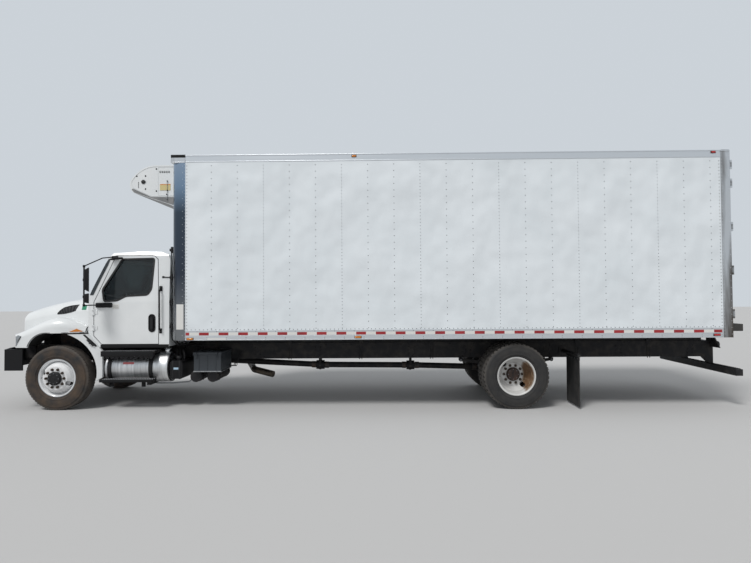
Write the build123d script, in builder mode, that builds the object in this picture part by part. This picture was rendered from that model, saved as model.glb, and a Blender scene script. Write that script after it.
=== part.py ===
from build123d import *
import os

# A refrigerated box truck: a bonneted two-axle cab and chassis, an insulated van body and a nose-mounted
# refrigeration unit. +X is forward, +Y is the truck's left and +Z is up, and the origin is on the ground
# under the middle of the truck's length. All sizes are in millimetres.

os.makedirs("parts", exist_ok=True)

# Driving dimensions of the wheels and axles
wheelbase = 7225
front_axle_lead = 25
tyre_radius = 508
tyre_width = 285
tyre_bead_radius = 286
rim_flange_radius = 299
rim_wall = 9
rim_half_width = 112
front_track_half = 1030
rear_track_half = 925
dual_spacing = 343
kingpin_half = 880
wheel_offset = 160
disc_wall = 12
stud_circle_radius = 143
stud_count = 10
nut_radius = 17
hub_bore_radius = 40.5
hand_hole_radius = 38
spindle_radius = 40
drum_radius = 212
front_hole_angle = 157
rear_hole_angle = 131

# Driving dimensions of the frame
bumper_reach = 1030
rail_half = 430
rail_bottom = 715
rail_height = 265
rail_flange = 80
rail_wall = 9
rail_overhang = 113
guard_reach = 79

# Driving dimensions of the van body
body_front = 1820
body_length = 8677
body_half = 1295
body_bottom = 1098
bottom_rail_height = 151
side_height = 2630
top_rail_height = 111
wall = 65
floor_wall = 120
front_wall = 90
roof_wall = 80
post_reach = 244
corner_radius = 190
rear_post_width = 110
rear_frame_depth = 147
rear_sill_height = 222
rear_header_height = 125
door_wall = 75
door_clearance = 6
hinge_reach = 18
hinge_inset = 5
beam_pitch = 305

# Driving dimensions of the cab
cab_half = 1030
cab_wall = 60
cab_front = 410
cab_rear = 1712
cab_floor = 985
cab_toe = 600
cab_floor_wall = 45
cab_roof = 2514
cab_lean = 50
belt_height = 1700
cab_door_gap = 12
cab_door_inner_half = 900
cab_door_front = 505
cab_door_rear = 1536
hood_rear = 395
hood_wall = 22
fender_half = 1180
hood_skirt = 1215
hood_pivot_back = -905
hood_pivot_height = 1020
mirror_half = 1345
mirror_back = 545
mirror_turn = 27
mirror_depth = 70
mirror_width = 210

# Places that follow from them
body_rear = body_front + body_length
guard_rear = body_rear + rail_overhang + guard_reach
datum_x = (guard_rear - bumper_reach) / 2
front_axle_x = datum_x + front_axle_lead
rear_axle_x = front_axle_x - wheelbase
axle_back = -front_axle_lead
rear_axle_back = wheelbase - front_axle_lead
rail_top = rail_bottom + rail_height
rail_rear = body_rear + rail_overhang
bottom_rail_top = body_bottom + bottom_rail_height
side_top = bottom_rail_top + side_height
body_top = side_top + top_rail_height
floor_top = body_bottom + rear_sill_height
floor_bottom = floor_top - floor_wall
inner_half = body_half - wall
kingpin_x = front_axle_x
wheel_z = tyre_radius


def at(back):
    """The X place of a point that lies this far behind the datum, a line just behind the front axle."""
    return datum_x - back


def along(back, height):
    """A point of a side outline, for Plane.XZ sketches."""
    return (datum_x - back, height)


def save(part, name):
    part.label = name
    export_step(part, "parts/" + name + ".step")


def slab(back_0, back_1, side_0, side_1, low, high, mode=Mode.ADD):
    """A block between two places behind the datum, two sides and two heights."""
    with Locations(Pos(at((back_0 + back_1) / 2), (side_0 + side_1) / 2, (low + high) / 2)):
        Box(abs(back_1 - back_0), abs(side_1 - side_0), high - low, mode=mode)


def rod(start, end, radius, mode=Mode.ADD):
    """A round bar between two points given as (behind the datum, side, height)."""
    a = Vector(at(start[0]), start[1], start[2])
    b = Vector(at(end[0]), end[1], end[2])
    with Locations(Plane(origin=a, z_dir=b - a)):
        Cylinder(radius, (b - a).length, align=(Align.CENTER, Align.CENTER, Align.MIN), mode=mode)


# Frame: two C rails joined by channels, with hood pivot horns and tow eyes at the front
# columns: place of each crossmember behind the datum
crossmember_rows = [-560, 1680, 3000, 4020, 5610, 6560, 7900, 9100, 10300]
crossmember_depth = 60
crossmember_low = rail_bottom + 60
crossmember_high = rail_bottom + 190
bumper_wall = 26
rail_front = -bumper_reach + bumper_wall + 20
horn_wall = 32
pivot_boss_radius = 24
pivot_pin_radius = 12
pivot_play = 0.6
with BuildPart() as chassis_frame:
    for side in (1, -1):
        with BuildSketch(Plane.YZ.offset(at(rail_rear))) as rail:
            with Locations((side * (rail_half - rail_flange / 2), rail_bottom + rail_height / 2)):
                Rectangle(rail_flange, rail_height)
            with Locations((side * (rail_half - rail_wall - rail_flange / 2), rail_bottom + rail_height / 2)):
                Rectangle(rail_flange, rail_height - 2 * rail_wall, mode=Mode.SUBTRACT)
        extrude(amount=rail_rear - rail_front)
    for back in crossmember_rows:
        slab(back - crossmember_depth / 2, back + crossmember_depth / 2, -rail_half + rail_wall,
             rail_half - rail_wall, crossmember_low, crossmember_high)
    for side in (1, -1):
        y0, y1 = sorted((side * rail_half, side * (rail_half + horn_wall)))
        with BuildSketch(Plane.XZ.offset(-y1)):
            with BuildLine():
                Polyline(along(rail_front + 20, rail_bottom + 40), along(rail_front + 200, rail_bottom + 40),
                         along(rail_front + 200, rail_top - 20),
                         along(hood_pivot_back + pivot_boss_radius, hood_pivot_height),
                         along(hood_pivot_back - pivot_boss_radius, hood_pivot_height), close=True)
            make_face()
            with Locations(along(hood_pivot_back, hood_pivot_height)):
                Circle(pivot_boss_radius)
                Circle(pivot_pin_radius + pivot_play, mode=Mode.SUBTRACT)
        extrude(amount=horn_wall)
    slab(rail_front + 60, rail_front + 120, -rail_half + rail_wall, rail_half - rail_wall,
         crossmember_low, crossmember_high)
save(chassis_frame.part, "chassis_frame")

# Front bumper: one bent plate whose ends sweep back
bumper_low = 632
bumper_high = 965
bumper_end_back = -833
bumper_half = 1190
bumper_return_back = -549
bumper_sweep = 70
bumper_bend = 0.72
with BuildPart() as front_bumper:
    with BuildSketch(Plane.XY.offset(bumper_low)) as bumper_plan:
        for inset, mode in ((0, Mode.ADD), (bumper_wall, Mode.SUBTRACT)):
            reach = bumper_reach - inset
            half = bumper_half - inset
            back = bumper_return_back + (1 if inset else 0)
            with BuildLine() as bumper_line:
                front = ThreePointArc((at(-reach + bumper_sweep), -half * bumper_bend), (at(-reach), 0),
                                      (at(-reach + bumper_sweep), half * bumper_bend))
                Polyline(front @ 1, (at(bumper_end_back + inset * 0.7), half), (at(back), half),
                         (at(back), -half), (at(bumper_end_back + inset * 0.7), -half), front @ 0)
            make_face(mode=mode)
    extrude(amount=bumper_high - bumper_low)
    with Locations(Pos(at(-bumper_reach), 0, bumper_low + 100)):
        Box(300, 460, 90, mode=Mode.SUBTRACT)
    for side in (1, -1):
        y0, y1 = sorted((side * (rail_half - rail_flange), side * rail_half))
        slab(rail_front - 20, rail_front, y0, y1, rail_bottom + 20, rail_bottom + 200)
save(front_bumper.part, "front_bumper")

# Front axle: a dropped I beam with kingpin eyes
beam_half = 700
beam_top = 470
axle_height = 105
pin_eye_radius = 42
kingpin_radius = 18
kingpin_play = 0.3
with BuildPart() as front_axle:
    with BuildSketch(Plane.XZ.offset(-beam_half)):
        with Locations(along(axle_back, beam_top - axle_height / 2)):
            Rectangle(96, axle_height)
        with Locations(along(axle_back + 34, beam_top - axle_height / 2),
                       along(axle_back - 34, beam_top - axle_height / 2)):
            Rectangle(40, axle_height - 36, mode=Mode.SUBTRACT)
    extrude(amount=2 * beam_half)
    for side in (1, -1):
        with Locations(Pos(front_axle_x, side * kingpin_half, wheel_z)):
            Cylinder(pin_eye_radius, 110)
        with BuildSketch(Plane.YZ.offset(front_axle_x - 45)):
            with BuildLine():
                Polyline((side * 660, beam_top), (side * 660, beam_top - axle_height),
                         (side * 720, beam_top - axle_height), (side * (kingpin_half - 50), wheel_z - 50),
                         (side * kingpin_half, wheel_z - 50), (side * kingpin_half, wheel_z + 50),
                         (side * 800, wheel_z + 30), close=True)
            make_face()
        extrude(amount=90)
        with Locations(Pos(front_axle_x, side * rail_half, beam_top + 8)):
            Box(170, 90, 16)
        with Locations(Pos(front_axle_x, side * kingpin_half, wheel_z)):
            Cylinder(kingpin_radius + kingpin_play, 200, mode=Mode.SUBTRACT)
save(front_axle.part, "front_axle")

# Leaf springs: packs of arcs that hang from eyes below the rails
spring_width = 76
eye_radius = 28
# columns: centre behind the front axle, half span, seat height, eye height, leaves
spring_rows = [
    (axle_back, 700, beam_top + 16, rail_bottom - 60, 3),
    (rear_axle_back, 760, wheel_z + 75, rail_bottom - 45, 5),
]
leaf_height = 14
hanger_half = 30
hanger_wall = 14
with BuildPart() as springs:
    for centre, half_span, seat, eye, leaves in spring_rows:
        for side in (1, -1):
            y = side * rail_half
            pack = leaf_height * leaves
            with BuildSketch(Plane.XZ.offset(-y - spring_width / 2)):
                with BuildLine():
                    top = ThreePointArc(along(centre - half_span, eye + pack / 2), along(centre, seat + pack),
                                        along(centre + half_span, eye + pack / 2))
                    Line(top @ 1, along(centre + half_span, eye))
                    low = ThreePointArc(along(centre + half_span, eye), along(centre, seat),
                                        along(centre - half_span, eye))
                    Line(low @ 1, top @ 0)
                make_face()
            extrude(amount=spring_width)
            for end in (-1, 1):
                back = centre + end * half_span
                y0, y1 = y - spring_width / 2, y + spring_width / 2
                rod((back, y0, eye + 10), (back, y1, eye + 10), eye_radius)
                slab(back - hanger_half, back + hanger_half, y0, y0 + hanger_wall, eye, rail_bottom)
                slab(back - hanger_half, back + hanger_half, y1 - hanger_wall, y1, eye, rail_bottom)
save(springs.part, "springs")

# Rear axle: banjo housing with tubes and the pinion nose
banjo_radius = 215
rear_tube_radius = 62
rear_hub_inner = 606
front_hub_inner = kingpin_half + 86
with BuildPart() as rear_axle:
    with Locations(Pos(rear_axle_x, 0, wheel_z) * Rot(X=90)):
        Cylinder(rear_tube_radius, 2 * (rear_hub_inner - 8))
        Cylinder(spindle_radius, 2 * (rear_track_half - 5))
        Cylinder(banjo_radius, 150)
        Cone(banjo_radius - 10, rear_tube_radius + 20, 160, align=(Align.CENTER, Align.CENTER, Align.MIN))
    with Locations(Pos(rear_axle_x, 0, wheel_z) * Rot(X=-90)):
        Cone(banjo_radius - 10, rear_tube_radius + 20, 160, align=(Align.CENTER, Align.CENTER, Align.MIN))
    with Locations(Pos(rear_axle_x, 0, wheel_z) * Rot(Y=90)):
        Cone(150, 62, 330, align=(Align.CENTER, Align.CENTER, Align.MIN))
    for side in (1, -1):
        slab(rear_axle_back - 95, rear_axle_back + 95, side * rail_half - 45, side * rail_half + 45,
             wheel_z - 70, wheel_z + 75)
save(rear_axle.part, "rear_axle")

# Engine, plain block, with the gearbox behind it
engine_half = 330
engine_front = -430
engine_rear = 390
engine_low = 690
engine_high = 1480
gearbox_rear = 1450
with BuildPart() as engine:
    slab(engine_front, engine_rear, -engine_half, engine_half, engine_low, engine_high)
    slab(-60, 60, -rail_half + 10, rail_half - 10, rail_top, rail_top + 40)
save(engine.part, "engine")

with BuildPart() as gearbox:
    with BuildSketch(Plane.YZ.offset(at(engine_rear))):
        with Locations((0, 750)):
            RectangleRounded(520, 400, 120)
    with BuildSketch(Plane.YZ.offset(at(engine_rear + 260))):
        with Locations((0, 740)):
            RectangleRounded(380, 360, 90)
    with BuildSketch(Plane.YZ.offset(at(gearbox_rear))):
        with Locations((0, 720)):
            RectangleRounded(300, 300, 80)
    loft(ruled=True)
    rod((gearbox_rear - 5, 0, 700), (gearbox_rear + 12, 0, 700), 70)
save(gearbox.part, "gearbox")

# Radiator: a flat core and tanks behind the grille
radiator_front = -720
radiator_half = 340
with BuildPart() as radiator:
    slab(radiator_front, radiator_front + 110, -radiator_half, radiator_half, 800, 1450)
    slab(radiator_front - 15, radiator_front + 125, -radiator_half, radiator_half, 1410, 1490)
    slab(radiator_front - 15, radiator_front + 125, -radiator_half, radiator_half, 760, 840)
    slab(radiator_front + 20, crossmember_rows[0] - crossmember_depth / 2, -60, 60, 800, 880)
save(radiator.part, "radiator")

# Drive shaft: three tubes with joints and bearing rings
# columns: behind the datum, height, of each joint
shaft_points = [(gearbox_rear + 15.2, 700), (4020, 560), (5610, 545), (rear_axle_back - 332, wheel_z)]
shaft_radius = 50
joint_radius = 78
with BuildPart() as driveshaft:
    for start, end in zip(shaft_points, shaft_points[1:]):
        rod((start[0], 0, start[1]), (end[0], 0, end[1]), shaft_radius)
    for back, height in shaft_points[1:-1]:
        rod((back - 70, 0, height), (back + 70, 0, height), joint_radius)
        slab(back - 20, back + 20, -90, 90, height, rail_bottom + 60)
save(driveshaft.part, "driveshaft")

# Fuel tank: a round aluminium tank under the left door
tank_radius = 240
tank_front = 668
tank_rear = 1700
tank_half = 810
tank_height = 640
with BuildPart() as fuel_tank:
    with Locations(Pos(at((tank_front + tank_rear) / 2), tank_half, tank_height) * Rot(Y=90)):
        Cylinder(tank_radius, tank_rear - tank_front)
    fillet(fuel_tank.edges().filter_by(GeomType.CIRCLE), 40)
    with Locations(Pos(at(tank_rear - 90), tank_half, tank_height + tank_radius)):
        Cylinder(45, 60)
save(fuel_tank.part, "fuel_tank")

# Cab steps: straps and brackets round the tank that carry two treads, and the same on the right side
step_front = 665
step_rear = 1500
# columns: inner half, outer half, height, thickness of each tread
step_rows = [(1010, 1180, 462, 36), (830, 1130, 905, 34)]
strap_backs = (760, 1420)
strap_width = 60
with BuildPart() as cab_steps:
    for side in (1, -1):
        for back in strap_backs:
            with BuildSketch(Plane.YZ.offset(at(back + strap_width / 2))):
                with Locations((side * tank_half, tank_height)):
                    Circle(tank_radius + 10)
                with Locations((side * (rail_half + 71), 800)):
                    Rectangle(142, 320)
                with Locations((side * 980, 405)):
                    Rectangle(250, 40)
                with Locations((side * 1090, 432)):
                    Rectangle(30, 60)
                with Locations((side * 900, 870)):
                    Rectangle(160, 50)
                with Locations((side * tank_half, tank_height)):
                    Circle(tank_radius, mode=Mode.SUBTRACT)
            extrude(amount=strap_width)
        for inner, outer, height, thick in step_rows:
            y0, y1 = sorted((side * inner, side * outer))
            slab(step_front, step_rear, y0, y1, height - thick / 2, height + thick / 2)
save(cab_steps.part, "cab_steps")

# Exhaust: the round canister on the right side and the pipe that turns down ahead of the rear axle
pipe_radius = 55
with BuildPart() as exhaust:
    with Locations(Pos(at((tank_front + tank_rear) / 2), -tank_half, tank_height) * Rot(Y=90)):
        Cylinder(tank_radius, tank_rear - tank_front)
    fillet(exhaust.edges().filter_by(GeomType.CIRCLE), 40)
    with BuildLine() as pipe_line:
        FilletPolyline((at(tank_rear - 10), -640, 620), (at(2600), -640, 560), (at(2880), 150, 500),
                       (at(3240), 330, 440), radius=60)
    with BuildSketch(Plane(origin=pipe_line.line @ 0, z_dir=pipe_line.line % 0)):
        Circle(pipe_radius)
    sweep(path=pipe_line.line)
save(exhaust.part, "exhaust")

# Fluid tank and battery box hung on the left rail, air tanks across below the frame
fluid_tank_half = 1040
with BuildPart() as fluid_tank:
    slab(1730, 1930, rail_half, fluid_tank_half, 470, 750)
    fillet(fluid_tank.edges().filter_by(Axis.Y), 40)
    with Locations(Pos(at(1830), 900, 760)):
        Cylinder(38, 60)
save(fluid_tank.part, "fluid_tank")

battery_half = 1060
battery_high = 860
with BuildPart() as battery_box:
    slab(2120, 2550, rail_half, battery_half, 590, battery_high)
    slab(2110, 2560, rail_half, battery_half + 10, battery_high, battery_high + 25)
save(battery_box.part, "battery_box")

air_tank_radius = 90
with BuildPart() as air_tanks:
    for back in (2130, 2400):
        with Locations(Pos(at(back), 640, 590 - air_tank_radius) * Rot(X=90)):
            Cylinder(air_tank_radius, 700)
save(air_tanks.part, "air_tanks")

# Mud flaps behind the rear wheels, each hung from a round arm
flap_back = 8160
flap_half = 1240
flap_high = 800
with BuildPart() as mud_flaps:
    for side in (1, -1):
        y0, y1 = sorted((side * 640, side * flap_half))
        slab(flap_back - 6, flap_back + 6, y0, y1, 30, flap_high)
        y0, y1 = sorted((side * rail_half, side * flap_half))
        slab(flap_back - 20, flap_back + 20, y0, y1, flap_high, flap_high + 40)
save(mud_flaps.part, "mud_flaps")

# Rear guard: uprights on the rail ends carry a square tube
guard_half = 1200
guard_tube = 107
guard_low = 497
guard_high = 597
upright = 70
lamp_plate_back = 20
lamp_plate_wall = 20
lamp_plate_low = 880
lamp_plate_high = body_bottom - 40
with BuildPart() as rear_guard:
    slab(guard_rear - guard_tube, guard_rear, -guard_half, guard_half, guard_low, guard_high)
    for side in (1, -1):
        y0, y1 = sorted((side * (rail_half - 80), side * rail_half))
        slab(rail_rear, rail_rear + upright, y0, y1, guard_high - 20, body_bottom - 20)
        with BuildSketch(Plane.XZ.offset(-y1)):
            with BuildLine():
                Polyline(along(rail_rear + 1, rail_bottom - 110), along(rail_rear + 1, rail_bottom),
                         along(rail_rear - 110, rail_bottom), close=True)
            make_face()
        extrude(amount=y1 - y0)
        with BuildSketch(Plane.YZ.offset(at(rail_rear + lamp_plate_back + lamp_plate_wall))):
            with BuildLine():
                Polyline((side * (rail_half - 10), lamp_plate_low), (side * 700, lamp_plate_low),
                         (side * 540, lamp_plate_high), (side * (rail_half - 10), lamp_plate_high),
                         close=True)
            make_face()
        extrude(amount=lamp_plate_wall)
save(rear_guard.part, "rear_guard")


def wheel_part(centre_x, track_half, side, rows, offset_sign, hub_inner, hole_angle):
    """A disc wheel with its hub, drum and nuts. rows gives each rim's distance out from the track centre."""
    flange = rim_flange_radius
    seat = tyre_bead_radius - 2
    well = tyre_bead_radius - 26
    discs = []
    with BuildPart() as wheel:
        for shift in rows:
            middle = track_half + shift
            near, far = middle - rim_half_width, middle + rim_half_width
            sign = offset_sign if shift >= 0 else -offset_sign
            disc = middle + sign * wheel_offset
            discs.append(disc)
            with BuildSketch(Plane.XY):
                with BuildLine():
                    Polyline((flange, near), (flange, near + 14), (seat, near + 18), (well, middle - 30),
                             (well, middle + 30), (seat, far - 18), (flange, far - 14), (flange, far),
                             (flange - rim_wall, far), (seat - 10, far - 10),
                             (well - rim_wall, middle + 32), (well - rim_wall, middle - 32),
                             (seat - 10, near + 10), (flange - rim_wall, near), close=True)
                make_face()
                with BuildLine():
                    Polyline((well - rim_wall / 2, middle + sign * 20),
                             (well - rim_wall / 2, middle + sign * 34), (225, disc - sign * 40),
                             (185, disc), (90, disc), (90, disc - sign * disc_wall),
                             (180, disc - sign * disc_wall), (212, disc - sign * 56), close=True)
                make_face()
            revolve(axis=Axis.Y)
            for angle in (hole_angle, hole_angle + 180):
                with Locations(Rot(Y=angle) * Pos(210, disc - sign * 50, 0) * Rot(X=90)):
                    Cylinder(hand_hole_radius, 120, mode=Mode.SUBTRACT)
        outer = max(discs)
        with BuildSketch(Plane.XY):
            with BuildLine():
                Polyline((hub_bore_radius, hub_inner), (120, hub_inner), (120, outer - 12), (104, outer + 2),
                         (104, outer + 30), (84, outer + 48), (0, outer + 48), (0, outer + 36),
                         (hub_bore_radius, outer + 30), close=True)
            make_face()
            with BuildLine():
                Polyline((110, outer - 60), (drum_radius, outer - 90), (drum_radius, outer - 260),
                         (drum_radius - 12, outer - 260), (drum_radius - 12, outer - 100), (110, outer - 72),
                         close=True)
            make_face()
        revolve(axis=Axis.Y)
        for index in range(stud_count):
            angle = 360 / stud_count * index
            with Locations(Rot(Y=angle) * Pos(stud_circle_radius, outer + 12, 0) * Rot(X=90)):
                Cylinder(nut_radius, 28)
    placed = Pos(centre_x, 0, wheel_z) * wheel.part
    return placed if side > 0 else mirror(placed, about=Plane.XZ)


def tyre_part(centre_x, track_half, side, rows):
    """A tyre on each rim of a wheel, with a plain tread."""
    bead = tyre_bead_radius - 1.7
    lip = rim_flange_radius + 0.3
    shoulder = tyre_radius - 22
    with BuildPart() as tyre:
        for shift in rows:
            middle = track_half + shift
            near, far = middle - rim_half_width, middle + rim_half_width
            inner, outer = middle - tyre_width / 2, middle + tyre_width / 2
            with BuildSketch(Plane.XY):
                with BuildLine():
                    Polyline((bead, near + 18), (lip, near + 14.3), (lip, near - 4))
                    ThreePointArc((lip, near - 4), (400, inner), (shoulder, inner + 26))
                    Polyline((shoulder, inner + 26), (tyre_radius, inner + 50), (tyre_radius, outer - 50),
                             (shoulder, outer - 26))
                    ThreePointArc((shoulder, outer - 26), (400, outer), (lip, far + 4))
                    Polyline((lip, far + 4), (lip, far - 14.3), (bead, far - 18), (bead, near + 18))
                make_face()
            revolve(axis=Axis.Y)
    placed = Pos(centre_x, 0, wheel_z) * tyre.part
    return placed if side > 0 else mirror(placed, about=Plane.XZ)


for side, hand in ((1, "left"), (-1, "right")):
    front_wheel = wheel_part(front_axle_x, front_track_half, side, (0,), 1, front_hub_inner, front_hole_angle)
    save(front_wheel, "front_wheel_" + hand)
    save(tyre_part(front_axle_x, front_track_half, side, (0,)), "front_tyre_" + hand)
    duals = (dual_spacing / 2, -dual_spacing / 2)
    rear_wheels = wheel_part(rear_axle_x, rear_track_half, side, duals, -1, rear_hub_inner, rear_hole_angle)
    save(rear_wheels, "rear_wheels_" + hand)
    save(tyre_part(rear_axle_x, rear_track_half, side, duals), "rear_tyres_" + hand)

# Knuckles: a fork round the kingpin eye with the spindle and a steering arm
fork_gap = 1
eye_gap = 6
tie_rod_back = axle_back + 140
tie_rod_half = kingpin_half - 30
knuckle_arm_height = 425
seat_gap = 0.3
for side, hand in ((1, "left"), (-1, "right")):
    with BuildPart() as knuckle:
        for low, high in ((wheel_z + 55 + fork_gap, wheel_z + 105), (wheel_z - 105, wheel_z - 55 - fork_gap)):
            with Locations(Pos(kingpin_x, side * kingpin_half, (low + high) / 2)):
                Cylinder(44, high - low)
            y0, y1 = sorted((side * kingpin_half, side * (kingpin_half + 75)))
            slab(axle_back - 40, axle_back + 40, y0, y1, low, high)
        y0, y1 = sorted((side * (kingpin_half + pin_eye_radius + eye_gap), side * (kingpin_half + 78)))
        slab(axle_back - 60, axle_back + 60, y0, y1, wheel_z - 105, wheel_z + 105)
        with Locations(Pos(kingpin_x, side * kingpin_half, wheel_z)):
            Cylinder(kingpin_radius, 200)
        y0, y1 = kingpin_half + 78, front_track_half + wheel_offset + 20
        with Locations(Pos(kingpin_x, side * (y0 + y1) / 2, wheel_z) * Rot(X=90)):
            Cylinder(spindle_radius, y1 - y0)
        rod((axle_back + 20, side * (kingpin_half + 25), knuckle_arm_height),
            (tie_rod_back, side * tie_rod_half, knuckle_arm_height), 17)
        with Locations(Pos(at(tie_rod_back), side * tie_rod_half, knuckle_arm_height)):
            Cylinder(26, 36)
    save(knuckle.part, "knuckle_" + hand)

tie_rod_radius = 20
tie_boss_height = 50
tie_height = knuckle_arm_height - 18 - seat_gap - tie_boss_height / 2
with BuildPart() as tie_rod:
    rod((tie_rod_back, -tie_rod_half, tie_height), (tie_rod_back, tie_rod_half, tie_height), tie_rod_radius)
    for side in (1, -1):
        with Locations(Pos(at(tie_rod_back), side * tie_rod_half, tie_height)):
            Cylinder(26, tie_boss_height)
save(tie_rod.part, "tie_rod")


# Hood: the bonnet between two fenders, thin all over and open below and behind
nose_z = 990
nose_reach = 970
nose_corner_back = -720
nose_corner_half = 1100
hood_reach = 200
bonnet_bulge = 22
arch = [(-485, nose_z), (-400, 1130), (-160, hood_skirt)]
# columns: place, height on the middle, shoulder half width and height, edge half width and height
bonnet_rows = [
    (-1060, 1500, 400, 1465, 525, 1330),
    (-300, 1715, 620, 1672, 775, 1500),
    (hood_rear + hood_reach, 1815, 850, 1752, 1010, 1560),
]
# columns: place, half width, crown height, height where the side begins
fender_rows = [
    (-1060, 1150, 1110, 1060),
    (-700, 1168, 1205, 1120),
    (-380, fender_half, 1350, 1220),
    (-40, fender_half, 1453, 1300),
    (200, 1130, 1405, 1290),
    (hood_rear + hood_reach, 985, 1240, 1180),
]


def across(point):
    """The same point of a cross section on the truck's other side."""
    return (-point[0], point[1])


def hood_form(inset):
    """The outside of the hood, or its inside when an inset is given."""
    low = nose_z - (200 if inset else 0)
    rear = hood_rear + hood_reach
    with BuildPart() as bonnet:
        for back, top, shoulder, shoulder_z, edge, edge_z in bonnet_rows:
            shoulder_point = (shoulder - inset / 2, shoulder_z - inset)
            edge_point = (edge - inset, edge_z - inset / 2)
            bulge_point = ((shoulder_point[0] + edge_point[0]) / 2 + bonnet_bulge,
                           (shoulder_point[1] + edge_point[1]) / 2 + bonnet_bulge)
            foot_point = (edge_point[0] + 15, low)
            with BuildSketch(Plane.YZ.offset(at(back))):
                with BuildLine():
                    Line(foot_point, edge_point)
                    ThreePointArc(edge_point, bulge_point, shoulder_point)
                    ThreePointArc(shoulder_point, (0, top - inset), across(shoulder_point))
                    ThreePointArc(across(shoulder_point), across(bulge_point), across(edge_point))
                    Polyline(across(edge_point), across(foot_point), foot_point)
                make_face()
        loft()
        with BuildSketch(Plane.XZ.offset(-1500)):
            with BuildLine():
                Polyline(along(-nose_reach - 200, low - 10), along(-nose_reach - 200, 1100),
                         along(-nose_reach + inset, 1100), along(-892 + inset, 1510 - inset / 2),
                         along(-822 + inset / 2, 1576 - inset), along(-700, 1720), along(rear, 2000),
                         along(rear, low - 10), close=True)
            make_face()
        extrude(amount=3000, mode=Mode.INTERSECT)
    with BuildPart() as fenders:
        for back, half, crown, side_z in fender_rows:
            side_point = (half - inset, side_z - inset / 2)
            crown_point = (half - inset - 150, crown - inset)
            bulge_point = (half - inset - 38, crown - inset - (crown - inset - side_point[1]) * 0.32)
            foot_point = (half - inset, low)
            with BuildSketch(Plane.YZ.offset(at(back))):
                with BuildLine():
                    Line(foot_point, side_point)
                    ThreePointArc(side_point, bulge_point, crown_point)
                    Line(crown_point, across(crown_point))
                    ThreePointArc(across(crown_point), across(bulge_point), across(side_point))
                    Polyline(across(side_point), across(foot_point), foot_point)
                make_face()
        loft()
    with BuildPart() as nose:
        with BuildSketch(Plane.XY):
            with BuildLine():
                front = ThreePointArc((at(nose_corner_back + inset), -nose_corner_half),
                                      (at(-nose_reach + inset), 0),
                                      (at(nose_corner_back + inset), nose_corner_half))
                Polyline(front @ 1, (at(-560 + inset), 1300), (at(rear), 1300), (at(rear), -1300),
                         (at(-560 + inset), -1300), front @ 0)
            make_face()
        extrude(amount=3000)
    return (bonnet.part + fenders.part) & nose.part


lamp_inner_half = 640
lamp_low = 1030
lamp_high = 1168
lamp_back = -640
grille_half = 430
grille_low = 1084
grille_high = 1470
notch_half = rail_half + horn_wall + 4
ear_half = rail_half + horn_wall + 6
ear_wall = 24
ear_top = grille_low + 80
hood_outer = hood_form(0)
hood_inner = hood_form(hood_wall)
with BuildPart() as hood:
    add(hood_outer)
    add(hood_inner, mode=Mode.SUBTRACT)
    with BuildSketch(Plane.XZ.offset(-1500)):
        with BuildLine():
            Line(along(arch[0][0], 0), along(*arch[0]))
            ThreePointArc(along(*arch[0]), along(*arch[1]), along(*arch[2]))
            Polyline(along(*arch[2]), along(hood_rear + 50, hood_skirt), along(hood_rear + 50, 0),
                     along(arch[0][0], 0))
        make_face()
    extrude(amount=3000, mode=Mode.SUBTRACT)
    slab(hood_rear, hood_rear + 300, -1500, 1500, 0, 3000, mode=Mode.SUBTRACT)
    slab(-1100, -800, -grille_half, grille_half, grille_low, grille_high, mode=Mode.SUBTRACT)
    slab(-1100, -800, -notch_half, notch_half, 900, grille_low - 24, mode=Mode.SUBTRACT)
    for side in (1, -1):
        y0, y1 = sorted((side * lamp_inner_half, side * 1300))
        slab(-1100, lamp_back, y0, y1, lamp_low, lamp_high, mode=Mode.SUBTRACT)
        y0, y1 = sorted((side * ear_half, side * (ear_half + ear_wall)))
        with BuildSketch(Plane.XZ.offset(-y1)):
            with BuildLine():
                Polyline(along(hood_pivot_back - 20, hood_pivot_height),
                         along(hood_pivot_back + pivot_boss_radius, hood_pivot_height),
                         along(hood_pivot_back + 20, ear_top), along(hood_pivot_back - 20, ear_top),
                         close=True)
            make_face()
            with Locations(along(hood_pivot_back, hood_pivot_height)):
                Circle(pivot_boss_radius)
        extrude(amount=y1 - y0)
        rod((hood_pivot_back, side * (rail_half + 4), hood_pivot_height),
            (hood_pivot_back, side * (ear_half + 2), hood_pivot_height), pivot_pin_radius)
save(hood.part, "hood")

lamp_inner = hood_form(30)
with BuildPart() as headlamps:
    add(hood_outer)
    add(lamp_inner, mode=Mode.SUBTRACT)
    with BuildSketch(Plane.YZ.offset(at(lamp_back))):
        for side in (1, -1):
            with Locations((side * (lamp_inner_half + 1300) / 2, (lamp_low + lamp_high) / 2)):
                Rectangle(1300 - lamp_inner_half, lamp_high - lamp_low)
    extrude(amount=1000, mode=Mode.INTERSECT)
save(headlamps.part, "headlamps")

bar_count = 7
bar_height = 20
grille_edge = 24
with BuildPart() as grille:
    add(hood_outer)
    add(lamp_inner, mode=Mode.SUBTRACT)
    slab(-1100, -800, -grille_half, grille_half, grille_low, grille_high, mode=Mode.INTERSECT)
    pitch = (grille_high - grille_low - bar_height) / bar_count
    for index in range(bar_count):
        low = grille_low + bar_height + index * pitch
        slab(-1100, -700, -grille_half + grille_edge, grille_half - grille_edge, low,
             low + pitch - bar_height, mode=Mode.SUBTRACT)
save(grille.part, "grille")

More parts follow.
